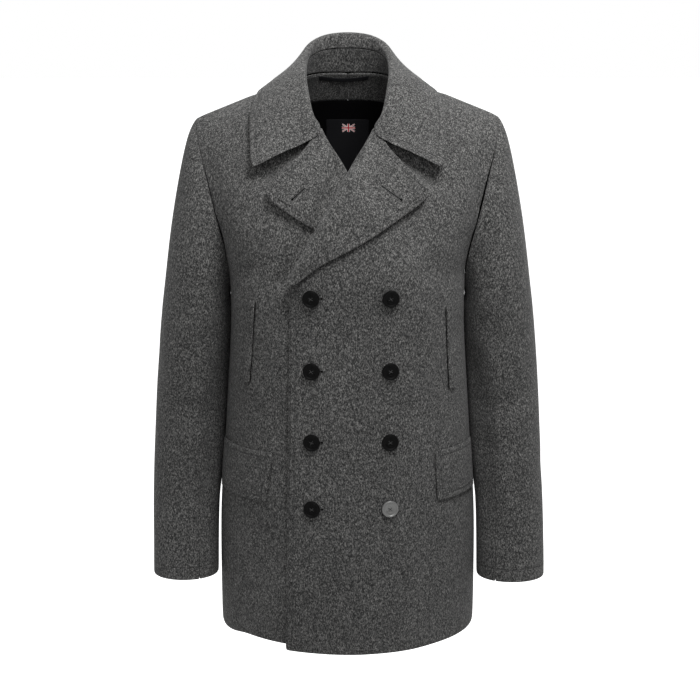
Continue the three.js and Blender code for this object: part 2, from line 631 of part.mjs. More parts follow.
function collarRow(step) {
  const { neck, roll, edge } = collarAt(step);
  const near = collarAt(Math.max(0, step - 0.5)).roll;
  const far = collarAt(Math.min(collarSteps, step + 0.5)).roll;
  const tangent = far.sub(near).normalize();
  const up = roll.clone().sub(neck).normalize();
  const out = up.clone().cross(tangent).normalize();
  if (out.dot(edge.clone().sub(roll)) < 0) out.negate();
  const height = roll.distanceTo(neck);
  const radius = Math.min(collarRoll.radius, height * collarRoll.heightShare);
  const centre = roll.clone().addScaledVector(up, -radius).addScaledVector(out, radius);
  const row = [];
  const seamShare = Math.min(standShare, 1 - (radius * collarRoll.seamBelow) / height);
  const seam = neck.clone().lerp(roll, seamShare);
  row.push(seam);
  for (let k = 0; k <= foldSteps; k += 1) {
    const angle = (collarRoll.turn * k) / foldSteps;
    row.push(centre.clone().addScaledVector(out, -radius * Math.cos(angle))
      .addScaledVector(up, radius * Math.sin(angle)));
  }
  const last = row[row.length - 1].clone();
  for (let c = 1; c <= fallColumns; c += 1) {
    const s = c / fallColumns;
    const p = last.clone().lerp(edge, s);
    p.z += fallBulge * Math.sin(Math.PI * s);
    row.push(p);
  }
  const leaf = ease((step - leafDrop.from) / (collarSteps - leafDrop.from));
  row.forEach((p, k) => {
    const beyond = row.length - 1 - k;
    const share = Math.min(leafDrop.rollShare * Math.max(0, k - 1), beyond / fallColumns);
    p.z -= leafDrop.depth * leaf * share;
    p.y -= leafDrop.depth * leaf * share * leafDrop.outward;
    if (beyond < fallColumns) p.y -= leafDrop.bulge * leaf * Math.sin((Math.PI * beyond) / fallColumns);
  });
  return { row, seam, neck, wall: Math.min(collarWall, height * wallShare.fall) };
}

function collarGrids() {
  const steps = [];
  for (let k = -collarSteps; k <= collarSteps; k += 1) steps.push(k);
  const flipped = (p, k) => (k < 0 ? new THREE.Vector3(-p.x, p.y, p.z) : p);
  const fall = steps.map((k) => collarRow(Math.abs(k)).row.map((p) => flipped(p, k)));
  const stand = steps.map((k) => {
    const { neck, seam } = collarRow(Math.abs(k));
    return [0, 0.5, 1].map((s) => flipped(neck.clone().lerp(seam, s), k));
  });
  const thickness = steps.map((k) => collarRow(Math.abs(k)).wall);
  return { fall, stand, thickness };
}

const collar = collarGrids();
const neckMiddle = new THREE.Vector3(0, 0, 20);
const towardNeck = (normal, p) => normal.dot(neckMiddle.clone().sub(p).setZ(0)) > 0;
const standNormals = gridNormals(collar.stand, towardNeck);
const fallNormals = gridNormals(collar.fall, () => true);
if (fallNormals[collarSteps][0].y > 0) fallNormals.flat().forEach((normal) => normal.negate());
fallNormals.forEach((row, i) => row[0].copy(standNormals[i][2]));
const fallInner = offsetGrid(collar.fall, fallNormals, collar.thickness.map((wall) => -wall));
trimEdge(collar.fall, fallInner, 'side', seamGap);
add('collar_fall', wallGeometry(collar.fall, fallInner));
const standWalls = collar.thickness.map((wall) => -wall * wallShare.stand);
const standInner = offsetGrid(collar.stand, standNormals, standWalls);
trimEdge(collar.stand, standInner, 'centre', seamGap);
add('collar_stand', wallGeometry(collar.stand, standInner));

// Places on a front below the armhole, as a row and a column of its grid
function rowAt(z, column) {
  const top = mix(underarmLevel, breakLevel, column / frontColumns);
  return (lowerRows * (z - hemLevel)) / (top - hemLevel);
}

// The point and outward normal of a panel between its own grid points
function onPanel(panel, row, column) {
  const i = Math.min(Math.floor(row), panel.outer.length - 2);
  const j = Math.min(Math.floor(column), panel.outer[0].length - 2);
  const blend = (grid) => grid[i][j].clone().lerp(grid[i][j + 1], column - j)
    .lerp(grid[i + 1][j].clone().lerp(grid[i + 1][j + 1], column - j), row - i);
  return { point: blend(panel.outer), normal: blend(panel.normals).normalize() };
}

// The place between two limits where a test turns true, found by halving
function search(from, to, isPast) {
  let [low, high] = [from, to];
  for (let k = 0; k < 30; k += 1) {
    const middle = (low + high) / 2;
    if (isPast(middle)) high = middle;
    else low = middle;
  }
  return low;
}

const columnAt = (panel, x, z) => search(
  0, frontColumns, (column) => onPanel(panel, rowAt(z, column), column).point.x <= x,
);

// A flat piece of cloth sewn on a front, between two levels and two edges
function patchWall(panel, { rows, columns, level, edges, gap, wall }) {
  const outer = [];
  const inner = [];
  for (let i = 0; i <= rows; i += 1) {
    const z = level(i / rows);
    const [from, to] = edges(i / rows, z);
    const outerRow = [];
    const innerRow = [];
    for (let j = 0; j <= columns; j += 1) {
      const column = mix(from, to, j / columns);
      const { point, normal } = onPanel(panel, rowAt(z, column), column);
      outerRow.push(point.clone().addScaledVector(normal, gap + wall));
      innerRow.push(point.clone().addScaledVector(normal, gap));
    }
    outer.push(outerRow);
    inner.push(innerRow);
  }
  return wallGeometry(outer, inner);
}

// Hip pocket flaps, from near the side seam forward to a slanted front end
const hipFlap = { top: -479, bottom: -551, backColumn: 1.3, gap: 0.8, wall: 2.8, rows: 3, columns: 12 };
const hipFlapFront = { left: { top: 119, bottom: 124 }, right: { top: 102, bottom: 112 } };
// Upright welts of the hand-warmer pockets, outward of the slit
const chestWelt = { width: 12, gap: 0.8, wall: 2, rows: 6, columns: 2 };
const chestSlit = {
  left: { topX: 134, topZ: -279, bottomX: 140, bottomZ: -396 },
  right: { topX: 125, topZ: -270, bottomX: 134, bottomZ: -386 },
};
sides.forEach(({ name, flip }) => {
  const panel = walls[name].front;
  const front = hipFlapFront[name];
  const slit = chestSlit[name];
  const columnWidth = onPanel(panel, 9, 4).point.distanceTo(onPanel(panel, 9, 5).point);
  const pieces = {
    hip_flap: patchWall(panel, {
      ...hipFlap,
      level: (share) => mix(hipFlap.bottom, hipFlap.top, share),
      edges: (share, z) => [hipFlap.backColumn, columnAt(panel, mix(front.bottom, front.top, share), z)],
    }),
    chest_welt: patchWall(panel, {
      ...chestWelt,
      level: (share) => mix(slit.bottomZ, slit.topZ, share),
      edges: (share, z) => {
        const lip = columnAt(panel, mix(slit.bottomX, slit.topX, share), z);
        return [lip - chestWelt.width / columnWidth, lip];
      },
    }),
  };
  Object.entries(pieces).forEach(([piece, geometry]) => {
    if (name === 'right') {
      geometry.scale(-1, 1, 1);
      faceOutward(geometry);
    }
    add(`${piece}_${name}`, geometry);
  });
});

// Buttons: two columns of four on the top front
const buttonRadius = 11.8;
const buttonRows = [-259, -360, -459, -553];
const buttonColumns = [-48.5, 58];
const buttonProfile = [
  { r: 0, y: 0 }, { r: 10.2, y: 0 }, { r: buttonRadius, y: 1.3 }, { r: buttonRadius - 0.2, y: 3 },
  { r: 10.6, y: 3.9 }, { r: 9, y: 3.1 }, { r: 0, y: 2.7 },
];
const buttonSides = 20;
const buttonSeat = 0.35;
const seatSamples = 12;

// How far a button stands off so that its back clears the cloth all round
function seatHeight(panel, x, z, point, normal) {
  let height = 0;
  for (let k = 0; k < seatSamples; k += 1) {
    const angle = (2 * Math.PI * k) / seatSamples;
    const sideX = x + buttonRadius * Math.cos(angle);
    const sideZ = z + buttonRadius * Math.sin(angle);
    const column = columnAt(panel, sideX, sideZ);
    const near = onPanel(panel, rowAt(sideZ, column), column);
    height = Math.max(height, near.point.sub(point).dot(normal));
  }
  return height + buttonSeat;
}
function buttonGeometry() {
  const profile = buttonProfile.map((p) => new THREE.Vector2(p.r, p.y));
  return new THREE.LatheGeometry(profile, buttonSides);
}
buttonColumns.forEach((x, side) => {
  buttonRows.forEach((z, row) => {
    const panel = walls.left.front;
    const column = columnAt(panel, x, z);
    const { point, normal } = onPanel(panel, rowAt(z, column), column);
    const silver = side === 1 && row === buttonRows.length - 1;
    const button = add(
      `button_${side * buttonRows.length + row + 1}`,
      buttonGeometry(),
      silver ? pewter() : black(0.3),
    );
    const seat = seatHeight(panel, x, z, point, normal);
    button.position.copy(point.addScaledVector(normal, seat));
    button.quaternion.setFromUnitVectors(new THREE.Vector3(0, 1, 0), normal);
  });
});

// Inside the back: facing under the neck seam, lining below it, on the points of the back's inner face
const lining = { gap: 2.1, wall: 1, trim: 0.4 };
const facing = { gap: 0.5, wall: 1.8, trim: 0.5 };
const facingRow = 9;
function backSkin(rowList, columnList, { gap, wall, trim }) {
  const { inner, normals } = walls.left.back;
  const pick = (depth) => rowList.map((i) => {
    const half = columnList.map((j) => inner[i][j].clone().addScaledVector(normals[i][j], -depth));
    half[half.length - 1].x = 0;
    const other = half.slice(0, -1).reverse().map((p) => new THREE.Vector3(-p.x, p.y, p.z));
    return [...half, ...other];
  });
  const skin = { near: pick(gap), far: pick(gap + wall) };
  trimEdge(skin.far, skin.near, 'top', trim);
  return skin;
}
const count = (from, to, step = 1) => {
  const list = [];
  for (let k = from; k <= to; k += step) list.push(k);
  return list;
};
const facingRows = count(lowerRows + facingRow, lowerRows + upperRows);
const facingSkin = backSkin(facingRows, count(shoulderColumns, backColumns), facing);
add('neck_facing', wallGeometry(facingSkin.far, facingSkin.near));
const liningSkin = backSkin(count(1, lowerRows + facingRow, 2), count(1, backColumns), lining);
add('back_lining', wallGeometry(liningSkin.far, liningSkin.near), black(0.6));

// A point between a grid's own points, and the direction out of it toward the neck
function betweenPoints(grid, x, z) {
  const at = (row, column) => {
    const i = Math.min(Math.floor(row), grid.length - 2);
    const j = Math.min(Math.floor(column), grid[0].length - 2);
    return grid[i][j].clone().lerp(grid[i][j + 1], column - j)
      .lerp(grid[i + 1][j].clone().lerp(grid[i + 1][j + 1], column - j), row - i);
  };
  const columnFor = (row) => search(0, grid[0].length - 1, (column) => at(row, column).x < x);
  const row = search(0, grid.length - 1, (r) => at(r, columnFor(r)).z > z);
  const column = columnFor(row);
  const near = 0.1;
  const up = at(Math.min(row + near, grid.length - 1), column).sub(at(row - near, column));
  const across = at(row, column + near).sub(at(row, column - near));
  const normal = up.cross(across).normalize();
  return { point: at(row, column), normal: normal.y < 0 ? normal : normal.negate() };
}

// A strip of cloth laid on a grid, away from it by a gap of its own at each place
function strip(grid, { xs, levels, gap, wall, away = () => 0 }) {
  const pick = (depth) => levels.map((level) => xs.map((x, k) => {
    const { point, normal } = betweenPoints(grid, x, level(k));
    return point.addScaledVector(normal, depth + away(k));
  }));
  return wallGeometry(pick(gap + wall), pick(gap));
}
const evenSteps = (from, to, steps) => count(0, steps).map((k) => mix(from, to, k / steps));

// Label on the lining
const label = { halfWidth: 31, top: -42, bottom: -122, gap: 0.4, wall: 1, steps: 6 };
add('neck_label', strip(liningSkin.far, {
  xs: evenSteps(-label.halfWidth, label.halfWidth, label.steps),
  levels: evenSteps(label.bottom, label.top, label.steps).map((z) => () => z),
  gap: label.gap,
  wall: label.wall,
}), black(0.7));

// Hanger loop, a strap that hangs a little in front of the facing between its two sewn ends
const loop = { middle: -5, halfLength: 36, height: 5, wall: 1.4, level: 22.5, sag: 3, away: 2, gap: 0.5 };
const loopSteps = 12;
const hang = (k) => Math.sin((Math.PI * k) / loopSteps);
add('hanger_loop', strip(facingSkin.far, {
  xs: evenSteps(loop.middle - loop.halfLength, loop.middle + loop.halfLength, loopSteps),
  levels: [
    (k) => loop.level - loop.height - loop.sag * hang(k),
    (k) => loop.level - loop.sag * hang(k),
  ],
  gap: loop.gap,
  wall: loop.wall,
  away: (k) => loop.away * hang(k),
}), black(0.6));

export default coat;
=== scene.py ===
# A double-breasted pea coat of grey melange wool, filled out as it is worn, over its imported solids.
# Metres, +Z up, the front faces -Y and +X is the wearer's left.
import math
import bmesh
import bpy
import numpy as np
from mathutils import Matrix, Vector
from mathutils.bvhtree import BVHTree


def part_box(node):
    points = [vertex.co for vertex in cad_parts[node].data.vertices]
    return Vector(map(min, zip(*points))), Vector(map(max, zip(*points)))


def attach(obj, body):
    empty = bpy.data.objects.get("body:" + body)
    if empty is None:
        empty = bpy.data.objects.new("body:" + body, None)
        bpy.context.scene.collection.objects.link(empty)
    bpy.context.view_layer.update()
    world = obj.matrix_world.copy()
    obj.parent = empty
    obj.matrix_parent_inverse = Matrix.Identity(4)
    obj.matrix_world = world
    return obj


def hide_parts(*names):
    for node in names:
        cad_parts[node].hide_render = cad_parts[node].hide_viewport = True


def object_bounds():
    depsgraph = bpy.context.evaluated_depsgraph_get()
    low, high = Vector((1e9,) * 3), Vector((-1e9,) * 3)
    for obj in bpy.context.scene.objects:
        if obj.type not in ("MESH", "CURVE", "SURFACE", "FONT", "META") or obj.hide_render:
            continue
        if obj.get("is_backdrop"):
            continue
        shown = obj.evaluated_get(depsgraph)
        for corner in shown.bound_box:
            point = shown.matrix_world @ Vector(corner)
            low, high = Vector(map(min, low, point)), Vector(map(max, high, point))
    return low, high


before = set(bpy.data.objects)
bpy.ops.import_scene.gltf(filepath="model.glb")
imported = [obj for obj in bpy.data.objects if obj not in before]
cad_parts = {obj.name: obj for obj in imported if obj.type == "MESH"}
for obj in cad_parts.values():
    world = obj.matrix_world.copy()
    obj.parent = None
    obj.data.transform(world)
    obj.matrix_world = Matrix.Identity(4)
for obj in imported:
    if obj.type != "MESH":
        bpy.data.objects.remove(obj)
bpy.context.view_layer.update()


# Studio. A white floor as far below the shoulders as a wearer's would be, air that is white behind the
# coat and dimmer in front and below, a soft lamp above the wearer's left, so that the light falls off toward
# the hem, and weaker ones in front and behind. The camera stands 2.6 m in front of the coat, 12 degrees down.
studio = bpy.context.scene
studio.view_settings.view_transform = "Standard"
camera_data = bpy.data.cameras.new("camera")
camera_data.sensor_width = 36.0
camera_data.lens = 36.0 * 1859 / 700
camera = bpy.data.objects.new("camera", camera_data)
camera.location = (0.0035, -2.6, 0.19)
camera.rotation_euler = (math.radians(90 - 12), 0, 0)
studio.collection.objects.link(camera)
studio.camera = camera

white_air = bpy.data.worlds.new("white_air")
white_air.use_nodes = True
white_air.node_tree.nodes["Background"].inputs["Color"].default_value = (1, 1, 1, 1)
air_place = white_air.node_tree.nodes.new("ShaderNodeTexCoord")
air_parts = white_air.node_tree.nodes.new("ShaderNodeSeparateXYZ")
air_depth = white_air.node_tree.nodes.new("ShaderNodeMapRange")
air_height = white_air.node_tree.nodes.new("ShaderNodeMapRange")
air_both = white_air.node_tree.nodes.new("ShaderNodeMath")
air_both.operation = "MULTIPLY"
for reading, low, high, dimmest in ((air_depth, -0.7, 0.25, 0.55), (air_height, -0.5, -0.05, 0.35)):
    reading.interpolation_type = "SMOOTHSTEP"
    reading.inputs["From Min"].default_value = low
    reading.inputs["From Max"].default_value = high
    reading.inputs["To Min"].default_value = dimmest
    reading.inputs["To Max"].default_value = 1.0
air_link = white_air.node_tree.links.new
air_link(air_place.outputs["Generated"], air_parts.inputs["Vector"])
air_link(air_parts.outputs["Y"], air_depth.inputs["Value"])
air_link(air_parts.outputs["Z"], air_height.inputs["Value"])
air_link(air_depth.outputs["Result"], air_both.inputs[0])
air_link(air_height.outputs["Result"], air_both.inputs[1])
air_link(air_both.outputs["Value"], white_air.node_tree.nodes["Background"].inputs["Strength"])
studio.world = white_air


def soft_lamp(name, place, target, width, watts):
    data = bpy.data.lights.new(name, "AREA")
    data.shape = "DISK"
    data.size = width
    data.energy = watts
    lamp = bpy.data.objects.new(name, data)
    lamp.location = place
    lamp.rotation_euler = (Vector(target) - Vector(place)).to_track_quat("-Z", "Y").to_euler()
    studio.collection.objects.link(lamp)


soft_lamp("lamp_above", (0.36, -0.85, 1.02), (0, -0.05, -0.15), 0.6, 25)
soft_lamp("lamp_in_front", (-0.3, -2.3, 0.7), (0, 0, -0.3), 0.7, 8)
soft_lamp("lamp_behind", (0.3, 1.6, 1.3), (0, 0, -0.3), 1.2, 20)

floor_level = -1.4
floor_mesh = bpy.data.meshes.new("floor")
floor_mesh.from_pydata(
    [(-14, -6, floor_level), (14, -6, floor_level), (14, 22, floor_level), (-14, 22, floor_level)],
    [],
    [(0, 1, 2, 3)],
)
floor = bpy.data.objects.new("floor", floor_mesh)
pale_paint = bpy.data.materials.new("pale_floor")
pale_paint.use_nodes = True
pale_paint.node_tree.nodes["Principled BSDF"].inputs["Base Color"].default_value = (0.97, 0.97, 0.97, 1)
pale_paint.node_tree.nodes["Principled BSDF"].inputs["Roughness"].default_value = 0.9
pale_paint.node_tree.nodes["Principled BSDF"].inputs["Emission Color"].default_value = (1, 1, 1, 1)
pale_paint.node_tree.nodes["Principled BSDF"].inputs["Emission Strength"].default_value = 0.45
floor_mesh.materials.append(pale_paint)
floor.visible_diffuse = False
studio.collection.objects.link(floor)
floor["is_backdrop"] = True


# Fronts. Two panels of wool melton, 3 mm with their facings, the wearer's left one lapped over the right
# one. The cloth is woven from black, grey and white fibres, then milled until the weave hardly shows.
# Each free edge is turned in and sewn down with two rows of stitches.
def melange_wool(name, light=1.0):
    """Wool melton: short flecks of dark and light fibre, a soft nap, and stitch grooves darkened by painted
    shade.
    """
    material = bpy.data.materials.new(name)
    material.use_nodes = True
    nodes = material.node_tree.nodes
    link = material.node_tree.links.new
    shader = nodes["Principled BSDF"]
    shader.inputs["Roughness"].default_value = 0.93
    shader.inputs["Specular IOR Level"].default_value = 0.1
    shader.inputs["Sheen Weight"].default_value = 0.06
    shader.inputs["Sheen Roughness"].default_value = 0.6
    place = nodes.new("ShaderNodeTexCoord")

    def flecks(turn, size, detail):
        lay = nodes.new("ShaderNodeMapping")
        lay.inputs["Rotation"].default_value = turn
        lay.inputs["Scale"].default_value = size
        link(place.outputs["Object"], lay.inputs["Vector"])
        noise = nodes.new("ShaderNodeTexNoise")
        noise.inputs["Scale"].default_value = 1.0
        noise.inputs["Detail"].default_value = detail
        noise.inputs["Roughness"].default_value = 0.7
        noise.inputs["Distortion"].default_value = 0.6
        link(lay.outputs["Vector"], noise.inputs["Vector"])
        return noise.outputs["Fac"]

    def sum_of(kind, first, second):
        add = nodes.new("ShaderNodeMath")
        add.operation = kind
        for socket, value in ((add.inputs[0], first), (add.inputs[1], second)):
            if isinstance(value, (int, float)):
                socket.default_value = value
            else:
                link(value, socket)
        return add.outputs["Value"]

    rising = flecks((0, math.radians(38), 0), (820, 820, 360), 3)
    falling = flecks((0, math.radians(-42), 0), (760, 800, 380), 3)
    clumps = flecks((0, 0, 0), (300, 300, 300), 2)
    broad = flecks((0, 0, 0), (7, 7, 5), 2)
    speckle = sum_of("ADD", sum_of("MULTIPLY", rising, 0.5), sum_of("MULTIPLY", falling, 0.5))
    blend = sum_of("ADD", sum_of("MULTIPLY", speckle, 0.8), sum_of("MULTIPLY", clumps, 0.2))
    fibres = nodes.new("ShaderNodeValToRGB")
    # light scales every fibre colour; below one it makes a shaded copy of the wool, which is painted shade
    stops = fibres.color_ramp
    stops.elements[0].position = 0.415
    stops.elements[0].color = (0.008 * light, 0.008 * light, 0.008 * light, 1)
    stops.elements[1].position = 0.605
    stops.elements[1].color = (0.205 * light, 0.202 * light, 0.196 * light, 1)
    middle = stops.elements.new(0.50)
    middle.color = (0.043 * light, 0.043 * light, 0.0425 * light, 1)
    link(blend, fibres.inputs["Fac"])

    # Stitch grooves: each row lies where its distance is nought. Each groove dents the relief and darkens the
    # colour by up to 28 per cent, painted shade in the groove
    def groove(row, width):
        distance = nodes.new("ShaderNodeAttribute")
        distance.attribute_name = row
        near = sum_of("DIVIDE", distance.outputs["Fac"], width)
        squared = sum_of("MULTIPLY", near, near)
        return sum_of("POWER", math.e, sum_of("MULTIPLY", squared, -1.0))

    grooves = sum_of("MAXIMUM", groove("row_one", 0.0011), groove("row_two", 0.0011))
    shade = nodes.new("ShaderNodeMapRange")
    shade.inputs["From Min"].default_value = 0.3
    shade.inputs["From Max"].default_value = 0.7
    shade.inputs["To Min"].default_value = 0.9
    shade.inputs["To Max"].default_value = 1.1
    link(broad, shade.inputs["Value"])
    # Broad tone that differs at random, darkened along the stitch grooves by painted shade
    tone_and_groove_painted_shade = sum_of("MULTIPLY", shade.outputs["Result"],
                    sum_of("SUBTRACT", 1.0, sum_of("MULTIPLY", grooves, 0.28)))
    tint = nodes.new("ShaderNodeVectorMath")
    tint.operation = "SCALE"
    link(fibres.outputs["Color"], tint.inputs[0])
    link(tone_and_groove_painted_shade, tint.inputs["Scale"])
    link(tint.outputs["Vector"], shader.inputs["Base Color"])

    height = sum_of("SUBTRACT", sum_of("MULTIPLY", blend, 0.0009), sum_of("MULTIPLY", grooves, 0.0007))
    relief = nodes.new("ShaderNodeBump")
    relief.inputs["Strength"].default_value = 0.7
    relief.inputs["Distance"].default_value = 1.0
    link(height, relief.inputs["Height"])
    link(relief.outputs["Normal"], shader.inputs["Normal"])
    return material


wool = melange_wool("grey_melange_wool")
# A copy of the same wool at 60 per cent of its lightness, for the collar stand and neck facing: painted shade
# for the inside of the neck
shaded_inner_wool = melange_wool("grey_melange_wool_painted_shade", light=0.60)
sharp_edge = 1.0


def whole_mesh(node):
    """The node's mesh with its points joined up."""
    shape = bmesh.new()
    shape.from_mesh(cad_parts[node].data)
    bmesh.ops.remove_doubles(shape, verts=shape.verts, dist=0.00002)
    shape.normal_update()
    return shape


def leave_unsewn(piece):
    """Marks every point of a piece as far from both rows of stitches."""
    for row in ("row_one", "row_two"):
        far = piece.data.attributes.new(row, "FLOAT", "POINT")
        far.data.foreach_set("value", [1.0] * len(piece.data.vertices))


def cut_cloth(node, name, cloth, rounding=0.0009, steps=2):
    """A smooth shell of cloth over a node's wall, with its edges turned round, that stands for the node."""
    shape = whole_mesh(node)
    bmesh.ops.join_triangles(
        shape, faces=shape.faces, angle_face_threshold=1.2, angle_shape_threshold=1.4,
    )
    edges = [edge for edge in shape.edges if edge.calc_face_angle(0) > sharp_edge]
    bmesh.ops.bevel(
        shape, geom=edges, offset=rounding, offset_type="OFFSET", segments=1, affect="EDGES",
    )
    rough = bpy.data.meshes.new(name)
    shape.to_mesh(rough)
    shape.free()
    piece = bpy.data.objects.new(name, rough)
    studio.collection.objects.link(piece)
    smoothing = piece.modifiers.new("smoothing", "SUBSURF")
    smoothing.levels = steps
    smoothing.render_levels = steps
    layer = bpy.context.evaluated_depsgraph_get()
    piece.data = bpy.data.meshes.new_from_object(piece.evaluated_get(layer))
    piece.modifiers.clear()
    bpy.data.meshes.remove(rough)
    piece.data.name = name
    piece.data.materials.clear()
    piece.data.materials.append(cloth)
    piece.data.polygons.foreach_set("use_smooth", [True] * len(piece.data.polygons))
    leave_unsewn(piece)
    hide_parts(node)
    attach(piece, "root")
    return piece


def points_of(piece):
    flat = np.empty(len(piece.data.vertices) * 3)
    piece.data.vertices.foreach_get("co", flat)
    return flat.reshape(-1, 3)


def move_points(piece, points):
    piece.data.vertices.foreach_set("co", points.ravel())
    piece.data.update()


def reach_of(points, start, end):
    """How far each point is from a straight line, and how far along it, from nought to one."""
    start = np.array(start)
    along = np.array(end) - start
    share = np.clip((points - start) @ along / (along @ along), 0, 1)
    return np.linalg.norm(points - start - share[:, None] * along, axis=1), share


def eased(low, high, value):
    """Nought below low, one above high and smooth between."""
    share = np.clip((value - low) / (high - low), 0, 1)
    return share * share * (3 - 2 * share)


# How far the shoulder pads lift each side of the coat
shoulder_fill = {"right": 0.005, "left": 0.008}


def fill_shoulders(piece):
    """Lifts the shoulder line as its pads do, most of all between the collar and the armhole."""
    points = points_of(piece)
    out = np.abs(points[:, 0])
    ridge = 0.018 - 0.40 * (out - 0.075)
    along = eased(0.085, 0.14, out) * (1 - eased(0.195, 0.25, out))
    near = 1 - eased(0, 0.07, ridge - points[:, 2])
    fill = np.where(points[:, 0] > 0, shoulder_fill["left"], shoulder_fill["right"])
    points[:, 2] += fill * along * near
    move_points(piece, points)


# Soft troughs and ridges where the body's cloth eases, seen from the front or the back as x and z:
# how broad each is and how far it goes in (or out)
body_creases = [
    {"side": -1, "start": (0.155, -0.30), "end": (0.118, -0.40), "breadth": 0.016, "depth": 0.0026},
    {"side": -1, "start": (-0.150, -0.295), "end": (-0.112, -0.375), "breadth": 0.015, "depth": 0.0024},
    {"side": -1, "start": (0.148, -0.245), "end": (0.095, -0.215), "breadth": 0.018, "depth": 0.0030},
    {"side": -1, "start": (-0.150, -0.240), "end": (-0.100, -0.220), "breadth": 0.017, "depth": 0.0028},
    {"side": -1, "start": (0.100, -0.56), "end": (0.112, -0.74), "breadth": 0.024, "depth": 0.0034},
    {"side": -1, "start": (0.020, -0.58), "end": (0.014, -0.75), "breadth": 0.022, "depth": -0.0024},
    {"side": -1, "start": (-0.118, -0.57), "end": (-0.128, -0.75), "breadth": 0.023, "depth": 0.0032},
    {"side": -1, "start": (-0.040, -0.60), "end": (-0.046, -0.75), "breadth": 0.020, "depth": 0.0020},
    {"side": -1, "start": (0.150, -0.44), "end": (0.060, -0.415), "breadth": 0.014, "depth": 0.0016},
    {"side": -1, "start": (-0.145, -0.43), "end": (-0.070, -0.42), "breadth": 0.013, "depth": 0.0015},
    {"side": -1, "start": (0.190, -0.065), "end": (0.176, -0.170), "breadth": 0.011, "depth": 0.0050},
    {"side": -1, "start": (0.176, -0.170), "end": (0.150, -0.260), "breadth": 0.014, "depth": 0.0030},
    {"side": -1, "start": (-0.188, -0.085), "end": (-0.166, -0.210), "breadth": 0.011, "depth": 0.0030},
    {"side": -1, "start": (0.044, -0.056), "end": (0.134, -0.116), "breadth": 0.011, "depth": 0.0110},
    {"side": -1, "start": (-0.046, -0.052), "end": (-0.130, -0.114), "breadth": 0.011, "depth": 0.0105},
    {"side": 1, "start": (0.140, -0.26), "end": (0.085, -0.33), "breadth": 0.020, "depth": 0.0036},
    {"side": 1, "start": (-0.142, -0.255), "end": (-0.080, -0.345), "breadth": 0.022, "depth": 0.0038},
    {"side": 1, "start": (0.090, -0.40), "end": (0.104, -0.73), "breadth": 0.026, "depth": 0.0040},
    {"side": 1, "start": (-0.070, -0.42), "end": (-0.092, -0.74), "breadth": 0.028, "depth": 0.0042},
    {"side": 1, "start": (0.030, -0.36), "end": (0.018, -0.70), "breadth": 0.022, "depth": -0.0022},
    {"side": 1, "start": (-0.120, -0.10), "end": (-0.030, -0.075), "breadth": 0.018, "depth": 0.0022},
    {"side": 1, "start": (0.118, -0.105), "end": (0.026, -0.082), "breadth": 0.018, "depth": 0.0024},
]


def crease_body(piece):
    """Presses the body's creases into a piece that belongs to it or lies on it."""
    points = points_of(piece)
    inward = np.stack([-points[:, 0] * 0.35, -points[:, 1], np.zeros(len(points))], axis=1)
    inward /= np.linalg.norm(inward, axis=1)[:, None]
    pressed = np.zeros(len(points))
    for crease in body_creases:
        off, share = reach_of(points[:, [0, 2]], crease["start"], crease["end"])
        fade = np.clip(np.minimum(share, 1 - share) * 4 + 0.25, 0, 1)
        facing = np.clip(points[:, 1] * crease["side"] / 0.05, 0, 1)
        pressed += crease["depth"] * np.exp(-(off / crease["breadth"]) ** 2) * fade * facing
    move_points(piece, points + inward * pressed[:, None])


def skin_rim(node, outward, turn=0.8):
    """The closed line round one side of a node's wall, with the way out of the cloth at each point."""
    shape = whole_mesh(node)
    left = dict.fromkeys(shape.faces)
    skins = []
    while left:
        skin = [next(iter(left))]
        del left[skin[0]]
        for face in skin:
            for edge in face.edges:
                if edge.calc_face_angle(0) < turn:
                    for other in edge.link_faces:
                        if other in left:
                            del left[other]
                            skin.append(other)
        skins.append(skin)
    skins.sort(key=lambda skin: -sum(face.calc_area() for face in skin))

    def outwardness(skin):
        return sum(
            face.normal.dot(outward(face.calc_center_median())) * face.calc_area() for face in skin
        )

    skin = max(skins[:2], key=outwardness)
    inside = set(skin)
    onward = {}
    for face in skin:
        for loop in face.loops:
            if not all(other in inside for other in loop.edge.link_faces):
                onward.setdefault(loop.vert, []).append(loop.link_loop_next.vert)
    longest = []
    while onward:
        vertex = next(iter(onward))
        line = []
        while vertex in onward:
            normal = Vector()
            for face in vertex.link_faces:
                if face in inside:
                    normal += face.normal
            line.append((vertex.co.copy(), normal.normalized()))
            following = onward[vertex].pop()
            if not onward[vertex]:
                del onward[vertex]
            vertex = following
        longest = max(longest, line, key=len)
    shape.free()
    return longest


def rounded(line):
    """Cuts the corners of a closed line twice, except where it turns sharply."""
    for _ in range(2):
        finer = []
        for k, (point, normal) in enumerate(line):
            before = line[k - 1][0]
            after = line[(k + 1) % len(line)][0]
            turn = (point - before).angle(after - point, 0)
            if turn > 0.7:
                finer.append((point, normal))
            else:
                finer.append((point.lerp(before, 0.25), normal))
                finer.append((point.lerp(after, 0.25), normal))
        line = finer
    return line


def stitched_edges(line, keep):
    """The stretches of a closed line whose points are kept."""
    count = len(line)
    kept = [keep(point) for point, _ in line]
    if all(kept):
        return [line + line[:1]]
    first = next(k for k in range(count) if not kept[k])
    runs = [[]]
    for k in range(first, first + count + 1):
        if kept[k % count]:
            runs[-1].append(line[k % count])
        elif runs[-1]:
            runs.append([])
    return [run for run in runs if len(run) > 1]


def mark_row(piece, row, edges, inset):
    """Writes how far each point of the cloth is from a row of stitches, for its groove and the painted shade
    in it.
    """
    points = points_of(piece)
    nearest = np.full(len(points), 1.0)
    for edge in edges:
        for (start, _), (end, _) in zip(edge, edge[1:]):
            if (end - start).length > 0.00001:
                nearest = np.minimum(nearest, reach_of(points, start, end)[0])
    piece.data.attributes[row].data.foreach_set("value", nearest - inset)


